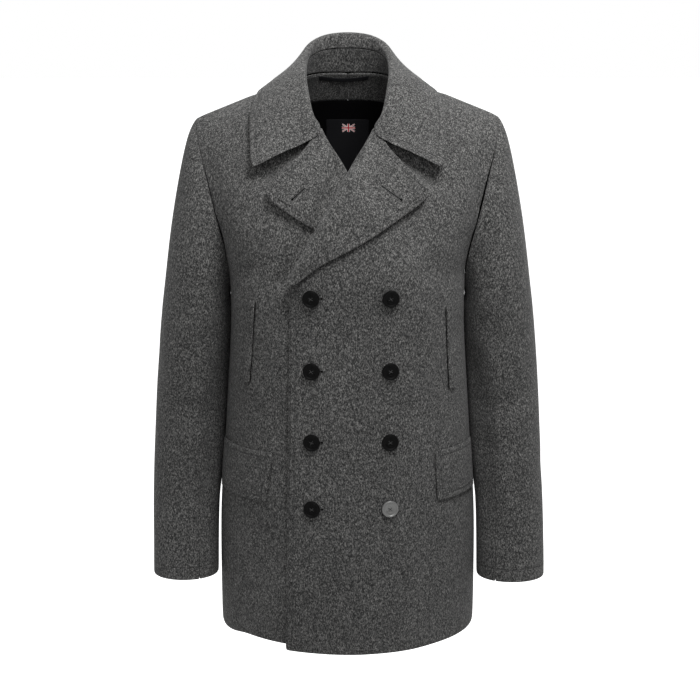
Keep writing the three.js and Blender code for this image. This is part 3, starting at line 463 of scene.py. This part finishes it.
thread = bpy.data.materials.new("grey_thread")
thread.use_nodes = True
thread.node_tree.nodes["Principled BSDF"].inputs["Base Color"].default_value = (0.024, 0.024, 0.025, 1)
thread.node_tree.nodes["Principled BSDF"].inputs["Roughness"].default_value = 0.7
twist = thread.node_tree.nodes.new("ShaderNodeTexWave")
twist.inputs["Scale"].default_value = 900
twist_relief = thread.node_tree.nodes.new("ShaderNodeBump")
twist_relief.inputs["Strength"].default_value = 0.4
twist_relief.inputs["Distance"].default_value = 0.0002
thread.node_tree.links.new(twist.outputs["Fac"], twist_relief.inputs["Height"])
thread.node_tree.links.new(
    twist_relief.outputs["Normal"], thread.node_tree.nodes["Principled BSDF"].inputs["Normal"],
)


def add_stitch(shape, middle, along, out, length, width, height):
    """One stitch, a bead of thread that dips into the cloth at both ends."""
    side = out.cross(along).normalized()
    rings = []
    for share, full in ((-0.5, 0.25), (-0.28, 0.85), (0, 1), (0.28, 0.85), (0.5, 0.25)):
        sunk = -height * (1.2 if abs(share) == 0.5 else 0.35)
        ring = []
        for k in range(6):
            turn = math.pi * k / 3
            place = middle + along * (share * length) + out * sunk
            place += side * (math.cos(turn) * width * full / 2) + out * (math.sin(turn) * height * full)
            ring.append(shape.verts.new(place))
        rings.append(ring)
    for ring, following in zip(rings, rings[1:]):
        for k in range(6):
            shape.faces.new((ring[k - 1], ring[k], following[k], following[k - 1]))
    shape.faces.new(rings[0])
    shape.faces.new(reversed(rings[-1]))


def surface_of(piece):
    return BVHTree.FromPolygons(
        [vertex.co for vertex in piece.data.vertices],
        [polygon.vertices for polygon in piece.data.polygons],
    )


# A stitch covers this share of the way to the next one, and is this wide and high
stitch_share = 0.78
stitch_width = 0.0008
stitch_height = 0.00035


def sew(name, piece, runs, inset, pitch=0.0042, material=thread):
    """A row of stitches in a piece of cloth, inset from stretches of its edge."""
    surface = surface_of(piece)
    every = [(start, end) for run in runs for (start, _), (end, _) in zip(run, run[1:])]
    starts = np.array([start for start, _ in every])
    ends = np.array([end for _, end in every])
    spans = ends - starts
    squares = np.maximum((spans * spans).sum(axis=1), 1e-12)
    shape = bmesh.new()
    for run in runs:
        wait = pitch / 2
        for (start, out), (end, _) in zip(run, run[1:]):
            length = (end - start).length
            if length < 0.00001:
                continue
            along = (end - start) / length
            while wait < length:
                place = start + along * wait + out.cross(along).normalized() * inset
                shares = np.clip(((np.array(place) - starts) * spans).sum(axis=1) / squares, 0, 1)
                gaps = np.linalg.norm(starts + shares[:, None] * spans - np.array(place), axis=1)
                if gaps.min() > inset * 0.93:
                    found, normal, _, _ = surface.find_nearest(place)
                    if normal.dot(out) < 0:
                        normal = out
                    lie = (along - normal * along.dot(normal)).normalized()
                    length_sewn = pitch * stitch_share
                    add_stitch(shape, found, lie, normal, length_sewn, stitch_width, stitch_height)
                wait += pitch
            wait -= length
    mesh = bpy.data.meshes.new(name)
    shape.normal_update()
    shape.to_mesh(mesh)
    shape.free()
    mesh.polygons.foreach_set("use_smooth", [True] * len(mesh.polygons))
    mesh.materials.append(material)
    row = bpy.data.objects.new(name, mesh)
    studio.collection.objects.link(row)
    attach(row, "root")
    return row


def out_of_body(point):
    return Vector((point.x * 0.5, point.y, 0)).normalized()


# The fold of the upper lapel, as x and z. Under it the other side sinks a little beside the fold
lapel_fold = [(0, -0.093), (-0.030, -0.154), (-0.074, -0.240)]
under_fold = {"aside": -0.010, "breadth": 0.011, "depth": 0.009}


def sunk_by_fold(points, trough):
    """How far each point sinks in a trough that runs beside the fold of the upper lapel."""
    spots = [(x + trough["aside"], z) for x, z in lapel_fold]
    gaps = [reach_of(points[:, [0, 2]], start, end)[0] for start, end in zip(spots, spots[1:])]
    return trough["depth"] * np.exp(-(np.minimum(*gaps) / trough["breadth"]) ** 2)


# How far in from the edge the two rows of stitches run, and how much higher the under front hangs
front_stitching = {"edge": 0.0025, "second": 0.0095}
under_hem_lift = 0.0075
fronts = {}
for side, sign in (("left", 1), ("right", -1)):
    front = cut_cloth(f"front_{side}", f"wool_front_{side}", wool)
    crease_body(front)
    fill_shoulders(front)
    if side == "right":
        points = points_of(front)
        points[:, 1] += sunk_by_fold(points, under_fold) * (points[:, 1] < -0.02)
        low = 1 - eased(-0.762, -0.64, points[:, 2])
        points[:, 2] += under_hem_lift * low * eased(-0.178, -0.140, points[:, 0])
        move_points(front, points)
    fronts[side] = front
    rim = rounded(skin_rim(f"front_{side}", out_of_body))
    edge = stitched_edges(rim, lambda point: point.x * sign < -0.074 and point.z < -0.243)
    mark_row(front, "row_one", edge, front_stitching["edge"])
    mark_row(front, "row_two", edge, front_stitching["second"])
    if side == "left":
        sew("edge_stitches_one", front, edge, front_stitching["edge"])
        sew("edge_stitches_two", front, edge, front_stitching["second"])


# Back. Two halves of the same wool, joined at a centre back seam and to the fronts at the side and
# shoulder seams, each pressed open.
for side in ("left", "right"):
    back = cut_cloth(f"back_{side}", f"wool_back_{side}", wool)
    crease_body(back)
    fill_shoulders(back)


# Sleeves. Each is cut in two parts, a broad top part and a narrow under part that faces the body. They
# hang with a slight bend at the elbow, where the cloth eases. The cuff is turned up inside and stitched.
sleeve_middles = [
    {"z": -0.04, "x": 0.188, "y": -0.003},
    {"z": -0.28, "x": 0.214, "y": 0.003},
    {"z": -0.39, "x": 0.222, "y": 0.006},
    {"z": -0.548, "x": 0.2335, "y": -0.010},
    {"z": -0.686, "x": 0.237, "y": -0.027},
]
# Creases of a sleeve, as degrees round from the side that faces the body, forward, and height
sleeve_creases = {
    "left": [
        {"start": (48, -0.340), "end": (54, -0.640), "breadth": 0.020, "depth": 0.0050},
        {"start": (50, -0.445), "end": (125, -0.405), "breadth": 0.014, "depth": 0.0036},
        {"start": (35, -0.500), "end": (95, -0.475), "breadth": 0.012, "depth": 0.0028},
        {"start": (120, -0.545), "end": (175, -0.520), "breadth": 0.015, "depth": 0.0022},
        {"start": (60, -0.300), "end": (105, -0.345), "breadth": 0.018, "depth": 0.0030},
        {"start": (95, -0.600), "end": (110, -0.670), "breadth": 0.016, "depth": 0.0018},
        {"start": (215, -0.430), "end": (290, -0.470), "breadth": 0.016, "depth": 0.0036},
        {"start": (230, -0.520), "end": (300, -0.500), "breadth": 0.013, "depth": 0.0026},
        {"start": (250, -0.290), "end": (285, -0.350), "breadth": 0.020, "depth": 0.0034},
    ],
    "right": [
        {"start": (50, -0.350), "end": (52, -0.660), "breadth": 0.022, "depth": 0.0056},
        {"start": (45, -0.455), "end": (118, -0.425), "breadth": 0.015, "depth": 0.0038},
        {"start": (40, -0.515), "end": (88, -0.500), "breadth": 0.012, "depth": 0.0026},
        {"start": (110, -0.390), "end": (165, -0.365), "breadth": 0.016, "depth": 0.0024},
        {"start": (55, -0.310), "end": (100, -0.360), "breadth": 0.017, "depth": 0.0028},
        {"start": (85, -0.610), "end": (102, -0.672), "breadth": 0.016, "depth": 0.0018},
        {"start": (220, -0.445), "end": (295, -0.480), "breadth": 0.016, "depth": 0.0034},
        {"start": (235, -0.390), "end": (290, -0.400), "breadth": 0.014, "depth": 0.0024},
        {"start": (245, -0.300), "end": (290, -0.345), "breadth": 0.019, "depth": 0.0032},
    ],
}
# The radius at which degrees round the sleeve count as a length
sleeve_girth = 0.055
# How far the cloth fills out all round, and how far it settles against the body
sleeve_swell = 0.0006
sleeve_settle = 0.0026


def out_of_sleeve(points, sign):
    levels = [row["z"] for row in reversed(sleeve_middles)]
    middle_x = np.interp(points[:, 2], levels, [row["x"] * sign for row in reversed(sleeve_middles)])
    middle_y = np.interp(points[:, 2], levels, [row["y"] for row in reversed(sleeve_middles)])
    out = np.stack([points[:, 0] - middle_x, points[:, 1] - middle_y, np.zeros(len(points))], axis=1)
    return out / np.maximum(np.linalg.norm(out, axis=1), 0.0001)[:, None]


def crease_sleeve(piece, side):
    sign = 1 if side == "left" else -1
    points = points_of(piece)
    out = out_of_sleeve(points, sign)
    turn = np.degrees(np.arctan2(-out[:, 1], -out[:, 0] * sign)) % 360
    flat = np.stack([np.radians(turn) * sleeve_girth, points[:, 2]], axis=1)
    pressed = np.zeros(len(points))
    for crease in sleeve_creases[side]:
        start = (math.radians(crease["start"][0]) * sleeve_girth, crease["start"][1])
        end = (math.radians(crease["end"][0]) * sleeve_girth, crease["end"][1])
        off, share = reach_of(flat, start, end)
        fade = np.clip(np.minimum(share, 1 - share) * 4 + 0.2, 0, 1)
        pressed += crease["depth"] * np.exp(-(off / crease["breadth"]) ** 2) * fade
    away = np.minimum(turn, 360 - turn)
    beside = eased(-0.58, -0.52, points[:, 2]) * (1 - eased(-0.30, -0.275, points[:, 2]))
    pressed -= sleeve_swell + sleeve_settle * np.exp(-(away / 42) ** 2) * beside
    low = eased(-0.30, -0.25, points[:, 2])
    move_points(piece, points - out * (pressed * (1 - low))[:, None])


def press_open(name, rim, keep, width):
    """The allowances of a seam, pressed open on its inner side, which keep the light out of it."""
    shape = bmesh.new()
    for run in stitched_edges(rim, keep):
        before = None
        for (start, out), (end, _) in zip(run, run[1:]):
            if (end - start).length < 0.00001:
                continue
            across = out.cross(end - start).normalized() * (width / 2)
            middle = start + out * 0.0004
            pair = (shape.verts.new(middle - across), shape.verts.new(middle + across))
            if before:
                shape.faces.new((before[0], pair[0], pair[1], before[1]))
            before = pair
    mesh = bpy.data.meshes.new(name)
    shape.to_mesh(mesh)
    shape.free()
    mesh.materials.append(wool)
    strips = bpy.data.objects.new(name, mesh)
    studio.collection.objects.link(strips)
    leave_unsewn(strips)
    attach(strips, "root")
    return strips


# The wearer's right cuff hangs a little higher and closer than the left one
right_cuff = {"narrower": 0.0038, "higher": 0.0032}
# How far up from the edge the cuff is stitched
cuff_inset = 0.018
for side, sign in (("left", 1), ("right", -1)):
    for part in ("top", "under"):
        sleeve = cut_cloth(f"{part}_sleeve_{side}", f"wool_{part}_sleeve_{side}", wool, rounding=0.0005)

        def outward(point, sign=sign):
            return Vector(out_of_sleeve(np.array([point]), sign)[0])

        rim = rounded(skin_rim(f"{part}_sleeve_{side}", outward))
        cuff = stitched_edges(rim, lambda point: point.z < -0.6855)
        mark_row(sleeve, "row_one", cuff, cuff_inset)
        crease_sleeve(sleeve, side)
        fill_shoulders(sleeve)
        if side == "right":
            points = points_of(sleeve)
            low = 1 - eased(-0.68, -0.50, points[:, 2])
            points[:, 0] += right_cuff["narrower"] * low * eased(0.21, 0.285, -points[:, 0])
            points[:, 2] += right_cuff["higher"] * low
            move_points(sleeve, points)
        sew(f"cuff_stitches_{part}_{side}", sleeve, cuff, cuff_inset)
        if part == "under":
            inner_rim = skin_rim(f"under_sleeve_{side}", lambda point: -outward(point))
            allowance = press_open(
                f"sleeve_seams_{side}", inner_rim, lambda point: -0.6858 < point.z < -0.30, 0.016,
            )
            crease_sleeve(allowance, side)


# Collar. A stand sewn round the neck seam, and a broad fall that folds over it and lies on the shoulders.
# Two layers of wool with canvas between them, turned at the edges and topstitched.
def over_shoulders(point):
    return Vector((point.x, point.y, 0.04)).normalized()


def round_corner(points, corner, inward, reach, amount):
    """Draws one corner of a piece in, seen from the front as x and z."""
    off = np.linalg.norm(points[:, [0, 2]] - np.array(corner), axis=1)
    pull = amount * np.clip(1 - off / reach, 0, 1) ** 2
    points[:, 0] += inward[0] * pull
    points[:, 2] += inward[1] * pull


def slim_collar(points):
    """Draws the collar in toward the middle, from the notches back and again along the back neck."""
    behind_notches = eased(-0.030, 0.015, points[:, 2])
    back_neck = eased(0.020, 0.060, points[:, 2])
    points[:, 0] *= 1 - 0.045 * behind_notches - 0.03 * back_neck


# How far the two leaves stand off the shoulders, and how far in from the edge the collar is stitched
leaf_lift = 0.010
collar_inset = 0.0095
fall = cut_cloth("collar_fall", "wool_collar_fall", wool, rounding=0.0012)
rim = rounded(skin_rim("collar_fall", over_shoulders, turn=1.0))
free_edge = stitched_edges(
    rim, lambda point: math.hypot(point.x / 0.078, (point.y + 0.005) / 0.088) > 1.0 or point.z < -0.034,
)
mark_row(fall, "row_one", free_edge, collar_inset)
points = points_of(fall)
for sign in (1, -1):
    round_corner(points, (0.129 * sign, -0.091), (-0.7 * sign, 0.7), 0.014, 0.0045)
leaf = (1 - eased(-0.088, -0.040, points[:, 2])) * eased(0.040, 0.075, np.abs(points[:, 0]))
points[:, 1] -= leaf_lift * leaf
slim_collar(points)
gorge_end = (1 - eased(-0.040, -0.020, points[:, 2])) * (1 - eased(0.042, 0.056, np.abs(points[:, 0])))
points[:, 0] -= np.sign(points[:, 0]) * 0.0025 * gorge_end
move_points(fall, points)
sew("collar_stitches", fall, free_edge, collar_inset)
# The stand wears the darker copy of the wool, painted shade
stand = cut_cloth("collar_stand", "wool_collar_stand", shaded_inner_wool, rounding=0.0009)
points = points_of(stand)
slim_collar(points)
move_points(stand, points)


# Lapels. The upper end of each front turns out on its roll line, so that the wool facing shows. They
# widen to points under the collar's leaves, with a buttonhole in each.
def on_cloth(surface, x, z):
    """The place that x and z have on a piece of cloth seen from the front, and the way out of it."""
    place, normal, _, _ = surface.ray_cast(Vector((x, -1, z)), Vector((0, 1, 0)))
    return place, normal if normal.y < 0 else -normal


def lay_strip(name, surface, line, width, lift, material):
    """A flat strip laid on the cloth along a line of x and z."""
    shape = bmesh.new()
    spots = []
    for start, end in zip(line, line[1:]):
        start, end = Vector(start), Vector(end)
        steps = max(2, round((end - start).length / 0.002))
        spots += [start.lerp(end, k / steps) for k in range(steps + (end == Vector(line[-1])))]
    places = [on_cloth(surface, spot.x, spot.y) for spot in spots]
    before = None
    for k, (place, out) in enumerate(places):
        along = places[min(k + 1, len(places) - 1)][0] - places[max(k - 1, 0)][0]
        across = out.cross(along).normalized() * (width / 2)
        middle = place + out * lift
        pair = (shape.verts.new(middle - across), shape.verts.new(middle + across))
        if before:
            shape.faces.new((before[0], pair[0], pair[1], before[1]))
        before = pair
    mesh = bpy.data.meshes.new(name)
    shape.to_mesh(mesh)
    shape.free()
    mesh.materials.append(material)
    strip = bpy.data.objects.new(name, mesh)
    studio.collection.objects.link(strip)
    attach(strip, "root")
    return strip


# Near-black strips laid into the buttonhole slits and eyes and along the welt slits: painted shadow where the
# slits open into shade
painted_slit_shadow = bpy.data.materials.new("painted_slit_shadow")
painted_slit_shadow.use_nodes = True
painted_slit_shadow.node_tree.nodes["Principled BSDF"].inputs["Base Color"].default_value = (0.004, 0.004, 0.004, 1)
painted_slit_shadow.node_tree.nodes["Principled BSDF"].inputs["Roughness"].default_value = 1.0
painted_slit_shadow.node_tree.nodes["Principled BSDF"].inputs["Specular IOR Level"].default_value = 0.0
dark_thread = thread.copy()
dark_thread.name = "dark_thread"
dark_thread.node_tree.nodes["Principled BSDF"].inputs["Base Color"].default_value = (0.016, 0.016, 0.016, 1)


def work_buttonhole(name, surface, eye, tail):
    """A slit with an eye at one end, laid as near-black strips of painted shadow, edged all round with close
    stitches.
    """
    eye, tail = Vector(eye), Vector(tail)
    along = (tail - eye).normalized()
    across = Vector((-along.y, along.x))
    eye_radius, edge, bite, close = 0.0015, 0.0010, 0.0020, 0.0008
    spots = []
    reach = eye_radius
    while reach < (tail - eye).length:
        spots += [(eye + along * reach + across * (edge * sign), across * sign) for sign in (-1, 1)]
        reach += close
    for k in range(11):
        turn = math.radians(40 + 28 * k)
        away = along * math.cos(turn) + across * math.sin(turn)
        spots.append((eye + away * (eye_radius + edge * 0.6), away))
    shape = bmesh.new()
    for spot, away in spots:
        place, out = on_cloth(surface, spot.x, spot.y)
        beyond = on_cloth(surface, spot.x + away.x * 0.001, spot.y + away.y * 0.001)[0]
        add_stitch(shape, place, (beyond - place).normalized(), out, bite, close * 0.95, 0.0004)
    mesh = bpy.data.meshes.new(name)
    shape.normal_update()
    shape.to_mesh(mesh)
    shape.free()
    mesh.polygons.foreach_set("use_smooth", [True] * len(mesh.polygons))
    mesh.materials.append(dark_thread)
    stitching = bpy.data.objects.new(name, mesh)
    studio.collection.objects.link(stitching)
    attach(stitching, "root")
    # The slit and the eye are near-black strips, painted shadow in the opening
    lay_strip(f"{name}_slit", surface, [tuple(eye), tuple(tail)], 0.0009, 0.00012, painted_slit_shadow)
    half = along * eye_radius
    lay_strip(f"{name}_eye", surface, [tuple(eye - half), tuple(eye + half)], 0.0026, 0.00015, painted_slit_shadow)


lapel_holes = {
    "right": {"eye": (-0.0734, -0.1291), "tail": (-0.0568, -0.1145)},
    "left": {"eye": (0.0718, -0.1294), "tail": (0.0450, -0.1107)},
}
# How far the tips stand off the fronts, how far in the lapels are stitched, and how the fold stands out
tip_lift = 0.007
lapel_inset = 0.0095
fold_ridge = {"aside": 0.006, "breadth": 0.008, "depth": -0.0045}
for side, sign in (("left", 1), ("right", -1)):
    lapel = cut_cloth(f"lapel_{side}", f"wool_lapel_{side}", wool, rounding=0.0011)
    points = points_of(lapel)
    tip = (0.113 * sign, -0.121)
    round_corner(points, tip, (-1.0 * sign, 0.05), 0.012, 0.0035)
    points[:, 1] += sunk_by_fold(points, fold_ridge if side == "left" else under_fold)
    near_tip = np.linalg.norm(points[:, [0, 2]] - np.array(tip), axis=1)
    points[:, 1] -= tip_lift * np.exp(-(near_tip / 0.055) ** 2)
    gorge_end = eased(-0.085, -0.045, points[:, 2]) * (1 - eased(0.040, 0.060, np.abs(points[:, 0])))
    points[:, 0] += sign * 0.0035 * gorge_end
    move_points(lapel, points)
    rim = rounded(skin_rim(f"lapel_{side}", lambda point: Vector((0, -1, 0))))
    free_edge = stitched_edges(rim, lambda point: point.y < -0.09)
    mark_row(lapel, "row_one", free_edge, lapel_inset)
    sew(f"lapel_stitches_{side}", lapel, free_edge, lapel_inset)
    work_buttonhole(
        f"lapel_hole_{side}", surface_of(lapel), lapel_holes[side]["eye"], lapel_holes[side]["tail"],
    )


# Pockets. On each side an upright hand-warmer pocket with a narrow welt at the chest, and below it a
# pocket with a flap, whose edges are turned and topstitched.
flap_inset = 0.008
# The slit along the inner edge of each welt, a near-black strip of painted shadow, and the line of the
# stitches round it, as x and z
welt_slits = {
    "left": [(0.1331, -0.2805), (0.1391, -0.3945)],
    "right": [(-0.1243, -0.2715), (-0.1333, -0.3845)],
}
welt_outlines = {
    "left": [(0.1300, -0.2750), (0.1470, -0.2765), (0.1535, -0.3000), (0.1560, -0.3990), (0.1370, -0.4010)],
    "right": [
        (-0.1210, -0.2660), (-0.1370, -0.2675), (-0.1445, -0.2900), (-0.1500, -0.3890), (-0.1310, -0.3910),
    ],
}
for side in ("left", "right"):
    flap = cut_cloth(f"hip_flap_{side}", f"wool_hip_flap_{side}", wool)
    rim = rounded(skin_rim(f"hip_flap_{side}", out_of_body))
    free_edge = stitched_edges(rim, lambda point: True)
    mark_row(flap, "row_one", free_edge, flap_inset)
    crease_body(flap)
    sew(f"flap_stitches_{side}", flap, free_edge, flap_inset)
    welt = cut_cloth(f"chest_welt_{side}", f"wool_chest_welt_{side}", wool, rounding=0.0006)
    crease_body(welt)
    chest = surface_of(fronts[side])
    # The slit is a near-black strip, painted shadow in the pocket mouth
    lay_strip(f"welt_slit_{side}", chest, welt_slits[side], 0.0011, 0.0006, painted_slit_shadow)
    outline = [on_cloth(chest, x, z) for x, z in welt_outlines[side]]
    sew(f"welt_stitches_{side}", fronts[side], [outline], 0.0001)


# Inside the neck. A wool facing under the neck seam, a black satin lining below it, a black woven label
# with a small flag, and a hanger loop of black braid.
satin = bpy.data.materials.new("black_satin")
satin.use_nodes = True
satin.node_tree.nodes["Principled BSDF"].inputs["Base Color"].default_value = (0.0012, 0.0012, 0.0014, 1)
satin.node_tree.nodes["Principled BSDF"].inputs["Roughness"].default_value = 0.5
satin.node_tree.nodes["Principled BSDF"].inputs["Specular IOR Level"].default_value = 0.05
satin_place = satin.node_tree.nodes.new("ShaderNodeTexCoord")
satin_ripples = satin.node_tree.nodes.new("ShaderNodeTexNoise")
satin_ripples.inputs["Scale"].default_value = 26
satin_relief = satin.node_tree.nodes.new("ShaderNodeBump")
satin_relief.inputs["Strength"].default_value = 0.5
satin_relief.inputs["Distance"].default_value = 0.006
satin.node_tree.links.new(satin_place.outputs["Object"], satin_ripples.inputs["Vector"])
satin.node_tree.links.new(satin_ripples.outputs["Fac"], satin_relief.inputs["Height"])
satin.node_tree.links.new(
    satin_relief.outputs["Normal"], satin.node_tree.nodes["Principled BSDF"].inputs["Normal"],
)
braid = bpy.data.materials.new("black_braid")
braid.use_nodes = True
braid.node_tree.nodes["Principled BSDF"].inputs["Base Color"].default_value = (0.005, 0.005, 0.006, 1)
braid.node_tree.nodes["Principled BSDF"].inputs["Roughness"].default_value = 0.75
braid.node_tree.nodes["Principled BSDF"].inputs["Specular IOR Level"].default_value = 0.12
braid_place = braid.node_tree.nodes.new("ShaderNodeTexCoord")
braid_ribs = braid.node_tree.nodes.new("ShaderNodeTexWave")
braid_ribs.bands_direction = "DIAGONAL"
braid_ribs.inputs["Scale"].default_value = 420
braid_relief = braid.node_tree.nodes.new("ShaderNodeBump")
braid_relief.inputs["Strength"].default_value = 0.4
braid_relief.inputs["Distance"].default_value = 0.0003
braid.node_tree.links.new(braid_place.outputs["Object"], braid_ribs.inputs["Vector"])
braid.node_tree.links.new(braid_ribs.outputs["Fac"], braid_relief.inputs["Height"])
braid.node_tree.links.new(
    braid_relief.outputs["Normal"], braid.node_tree.nodes["Principled BSDF"].inputs["Normal"],
)

loop = cut_cloth("hanger_loop", "braid_hanger_loop", braid, rounding=0.0003)
# The facing wears the darker copy of the wool, painted shade
facing = cut_cloth("neck_facing", "wool_neck_facing", shaded_inner_wool, rounding=0.0004)
lining = cut_cloth("back_lining", "satin_back_lining", satin, rounding=0.0003)
label = cut_cloth("neck_label", "woven_neck_label", braid, rounding=0.0003)


def woven_colour(name, colour):
    """Matt woven thread of one colour."""
    material = bpy.data.materials.new(name)
    material.use_nodes = True
    nodes = material.node_tree.nodes
    nodes["Principled BSDF"].inputs["Roughness"].default_value = 0.85
    weave = nodes.new("ShaderNodeTexNoise")
    weave.inputs["Scale"].default_value = 1500
    shades = nodes.new("ShaderNodeValToRGB")
    shades.color_ramp.elements[0].color = (*(0.7 * c for c in colour), 1)
    shades.color_ramp.elements[1].color = (*colour, 1)
    material.node_tree.links.new(weave.outputs["Fac"], shades.inputs["Fac"])
    material.node_tree.links.new(shades.outputs["Color"], nodes["Principled BSDF"].inputs["Base Color"])
    return material


# The flag woven into the label: slanting and upright crosses, red on white
flag_white = woven_colour("flag_white", (0.80, 0.79, 0.77))
flag_red = woven_colour("flag_red", (0.50, 0.02, 0.03))
flag_middle, flag_half_width, flag_half_height = Vector((0.0013, -0.0548)), 0.0095, 0.0058
flag_bands = [
    {"name": "slant_white", "to": (0.93, 0.93), "width": 0.0021, "cloth": flag_white},
    {"name": "slant_red", "to": (0.93, 0.93), "width": 0.0008, "cloth": flag_red},
    {"name": "across_white", "to": (1, 0), "width": 0.0036, "cloth": flag_white},
    {"name": "upright_white", "to": (0, 1), "width": 0.0036, "cloth": flag_white},
    {"name": "across_red", "to": (1, 0), "width": 0.0021, "cloth": flag_red},
    {"name": "upright_red", "to": (0, 1), "width": 0.0021, "cloth": flag_red},
]
label_face = surface_of(label)
for layer, band in enumerate(flag_bands):
    for slope in ((1, -1) if band["name"].startswith("slant") else (1,)):
        reach = Vector((band["to"][0] * flag_half_width, band["to"][1] * flag_half_height * slope))
        ends = [tuple(flag_middle - reach), tuple(flag_middle + reach)]
        lay_strip(
            f"flag_{band['name']}_{slope + 1}", label_face, ends, band["width"],
            0.0001 + 0.00004 * layer, band["cloth"],
        )


# Buttons. Eight moulded four-hole buttons, sewn on through the top front: seven black and the lowest on
# the wearer's left pewter coloured.
def moulded(name, colour, roughness, metallic):
    """Moulded plastic with a faintly uneven skin."""
    material = bpy.data.materials.new(name)
    material.use_nodes = True
    nodes = material.node_tree.nodes
    shader = nodes["Principled BSDF"]
    shader.inputs["Base Color"].default_value = (*colour, 1)
    shader.inputs["Metallic"].default_value = metallic
    shader.inputs["Specular IOR Level"].default_value = 0.05
    wear = nodes.new("ShaderNodeTexNoise")
    wear.inputs["Scale"].default_value = 400
    gloss = nodes.new("ShaderNodeMapRange")
    gloss.inputs["To Min"].default_value = roughness * 0.8
    gloss.inputs["To Max"].default_value = roughness * 1.25
    skin = nodes.new("ShaderNodeBump")
    skin.inputs["Strength"].default_value = 0.15
    skin.inputs["Distance"].default_value = 0.0002
    link = material.node_tree.links.new
    link(wear.outputs["Fac"], gloss.inputs["Value"])
    link(gloss.outputs["Result"], shader.inputs["Roughness"])
    link(wear.outputs["Fac"], skin.inputs["Height"])
    link(skin.outputs["Normal"], shader.inputs["Normal"])
    return material


black_plastic = moulded("black_button", (0.0025, 0.0025, 0.0025), 0.50, 0.0)
pewter_plate = moulded("pewter_button", (0.15, 0.15, 0.147), 0.40, 0.5)
# The button's face from its back edge over the rim to the middle, and the anchor on it, in millimetres
button_face = [
    {"r": 9.8, "h": 0.1}, {"r": 11.4, "h": 0.8}, {"r": 11.8, "h": 1.7}, {"r": 11.5, "h": 2.9},
    {"r": 10.8, "h": 3.7}, {"r": 10.0, "h": 3.85}, {"r": 9.3, "h": 3.5}, {"r": 8.8, "h": 2.8},
    {"r": 8.1, "h": 2.5}, {"r": 5.0, "h": 2.45}, {"r": 2.0, "h": 2.45},
]
button_sides = 56
face_level = 2.5
anchor_arm = [(4.7 * math.cos(math.radians(a)), -1.0 + 4.7 * math.sin(math.radians(a)))
              for a in range(198, 343, 12)]
anchor_ring = [(1.1 * math.cos(math.radians(a)), 6.0 + 1.1 * math.sin(math.radians(a)))
               for a in range(0, 361, 40)]
anchor_lines = [
    {"points": [(0, 5.0), (0, -5.6)], "radius": 0.62},
    {"points": [(-3.0, 3.4), (3.0, 3.4)], "radius": 0.55},
    {"points": anchor_arm, "radius": 0.60},
    {"points": anchor_ring, "radius": 0.36},
    {"points": [(-5.6, -3.6), (-4.5, -1.2), (-3.1, -3.0)], "radius": 0.45},
    {"points": [(5.6, -3.6), (4.5, -1.2), (3.1, -3.0)], "radius": 0.45},
]
button_holes = [(2.1, 1.5), (-2.1, 1.5), (2.1, -1.9), (-2.1, -1.9)]
button_turns = [8, -12, 20, 4, -16, 10, -6, 2]


def bead(shape, points, radius, level, slot):
    """A round line, half sunk, through points of a button's face."""
    rings = []
    for k, point in enumerate(points):
        ahead = Vector(points[min(k + 1, len(points) - 1)]) - Vector(points[max(k - 1, 0)])
        side = Vector((-ahead.y, ahead.x)).normalized()
        full = 0.55 if k in (0, len(points) - 1) else 1.0
        ring = []
        for a in range(7):
            turn = math.pi * a / 6
            spot = Vector(point) + side * (radius * full * math.cos(turn))
            ring.append(shape.verts.new((spot.x, spot.y, level + radius * full * math.sin(turn))))
        rings.append(ring)
    for ring, following in zip(rings, rings[1:]):
        for a in range(6):
            face = shape.faces.new((ring[a], ring[a + 1], following[a + 1], following[a]))
            face.material_index = slot


def mould_button(number, plastic):
    """One button in place of its node, turned the way its node faces."""
    shape = bmesh.new()
    rings = []
    for row in button_face:
        rings.append([
            shape.verts.new((row["r"] * math.cos(a), row["r"] * math.sin(a), row["h"]))
            for a in (2 * math.pi * k / button_sides for k in range(button_sides))
        ])
    for ring, following in zip(rings, rings[1:]):
        for k in range(button_sides):
            shape.faces.new((ring[k - 1], ring[k], following[k], following[k - 1]))
    shape.faces.new(rings[-1])
    shape.faces.new(list(reversed(rings[0])))
    for line in anchor_lines:
        bead(shape, line["points"], line["radius"], face_level, 0)
    for x, y in button_holes:
        circle = [(x + 0.85 * math.cos(a), y + 0.85 * math.sin(a))
                  for a in (2 * math.pi * k / 12 for k in range(13))]
        bead(shape, circle, 0.28, face_level, 0)
        disc = shape.faces.new([shape.verts.new((*spot, face_level + 0.06)) for spot in circle[:-1]])
        disc.material_index = 1
    for near, across in ((0, 3), (1, 2)):
        cross = [button_holes[near], (0, -0.2), button_holes[across]]
        bead(shape, cross, 0.45, face_level + 0.25, 1)
    solid = whole_mesh(f"button_{number}")
    corners = np.array([vertex.co for vertex in solid.verts])
    solid.free()
    middle = corners.mean(axis=0)
    out = np.linalg.svd(corners - middle)[2][2]
    if out[1] > 0:
        out = -out
    base = Vector(middle) + Vector(out) * float(((corners - middle) @ out).min())
    out = Vector(out)
    turn = math.radians(button_turns[number - 1])
    right = Vector((math.cos(turn), 0, math.sin(turn)))
    right = (right - out * right.dot(out)).normalized()
    up = out.cross(right)
    for vertex in shape.verts:
        x, y, h = (value / 1000 for value in vertex.co)
        vertex.co = base + right * x + up * y + out * h
    shape.normal_update()
    name = f"moulded_button_{number}"
    mesh = bpy.data.meshes.new(name)
    shape.to_mesh(mesh)
    shape.free()
    mesh.polygons.foreach_set("use_smooth", [True] * len(mesh.polygons))
    mesh.materials.append(plastic)
    mesh.materials.append(dark_thread)
    button = bpy.data.objects.new(name, mesh)
    studio.collection.objects.link(button)
    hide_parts(f"button_{number}")
    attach(button, "root")


chest = surface_of(fronts["left"])
for number in range(1, 9):
    mould_button(number, pewter_plate if number == 8 else black_plastic)
    if number <= 4:
        low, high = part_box(f"button_{number}")
        level = (low[2] + high[2]) / 2
        work_buttonhole(f"front_hole_{number}", chest, (high[0] + 0.0025, level), (low[0] + 0.002, level))


low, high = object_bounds()
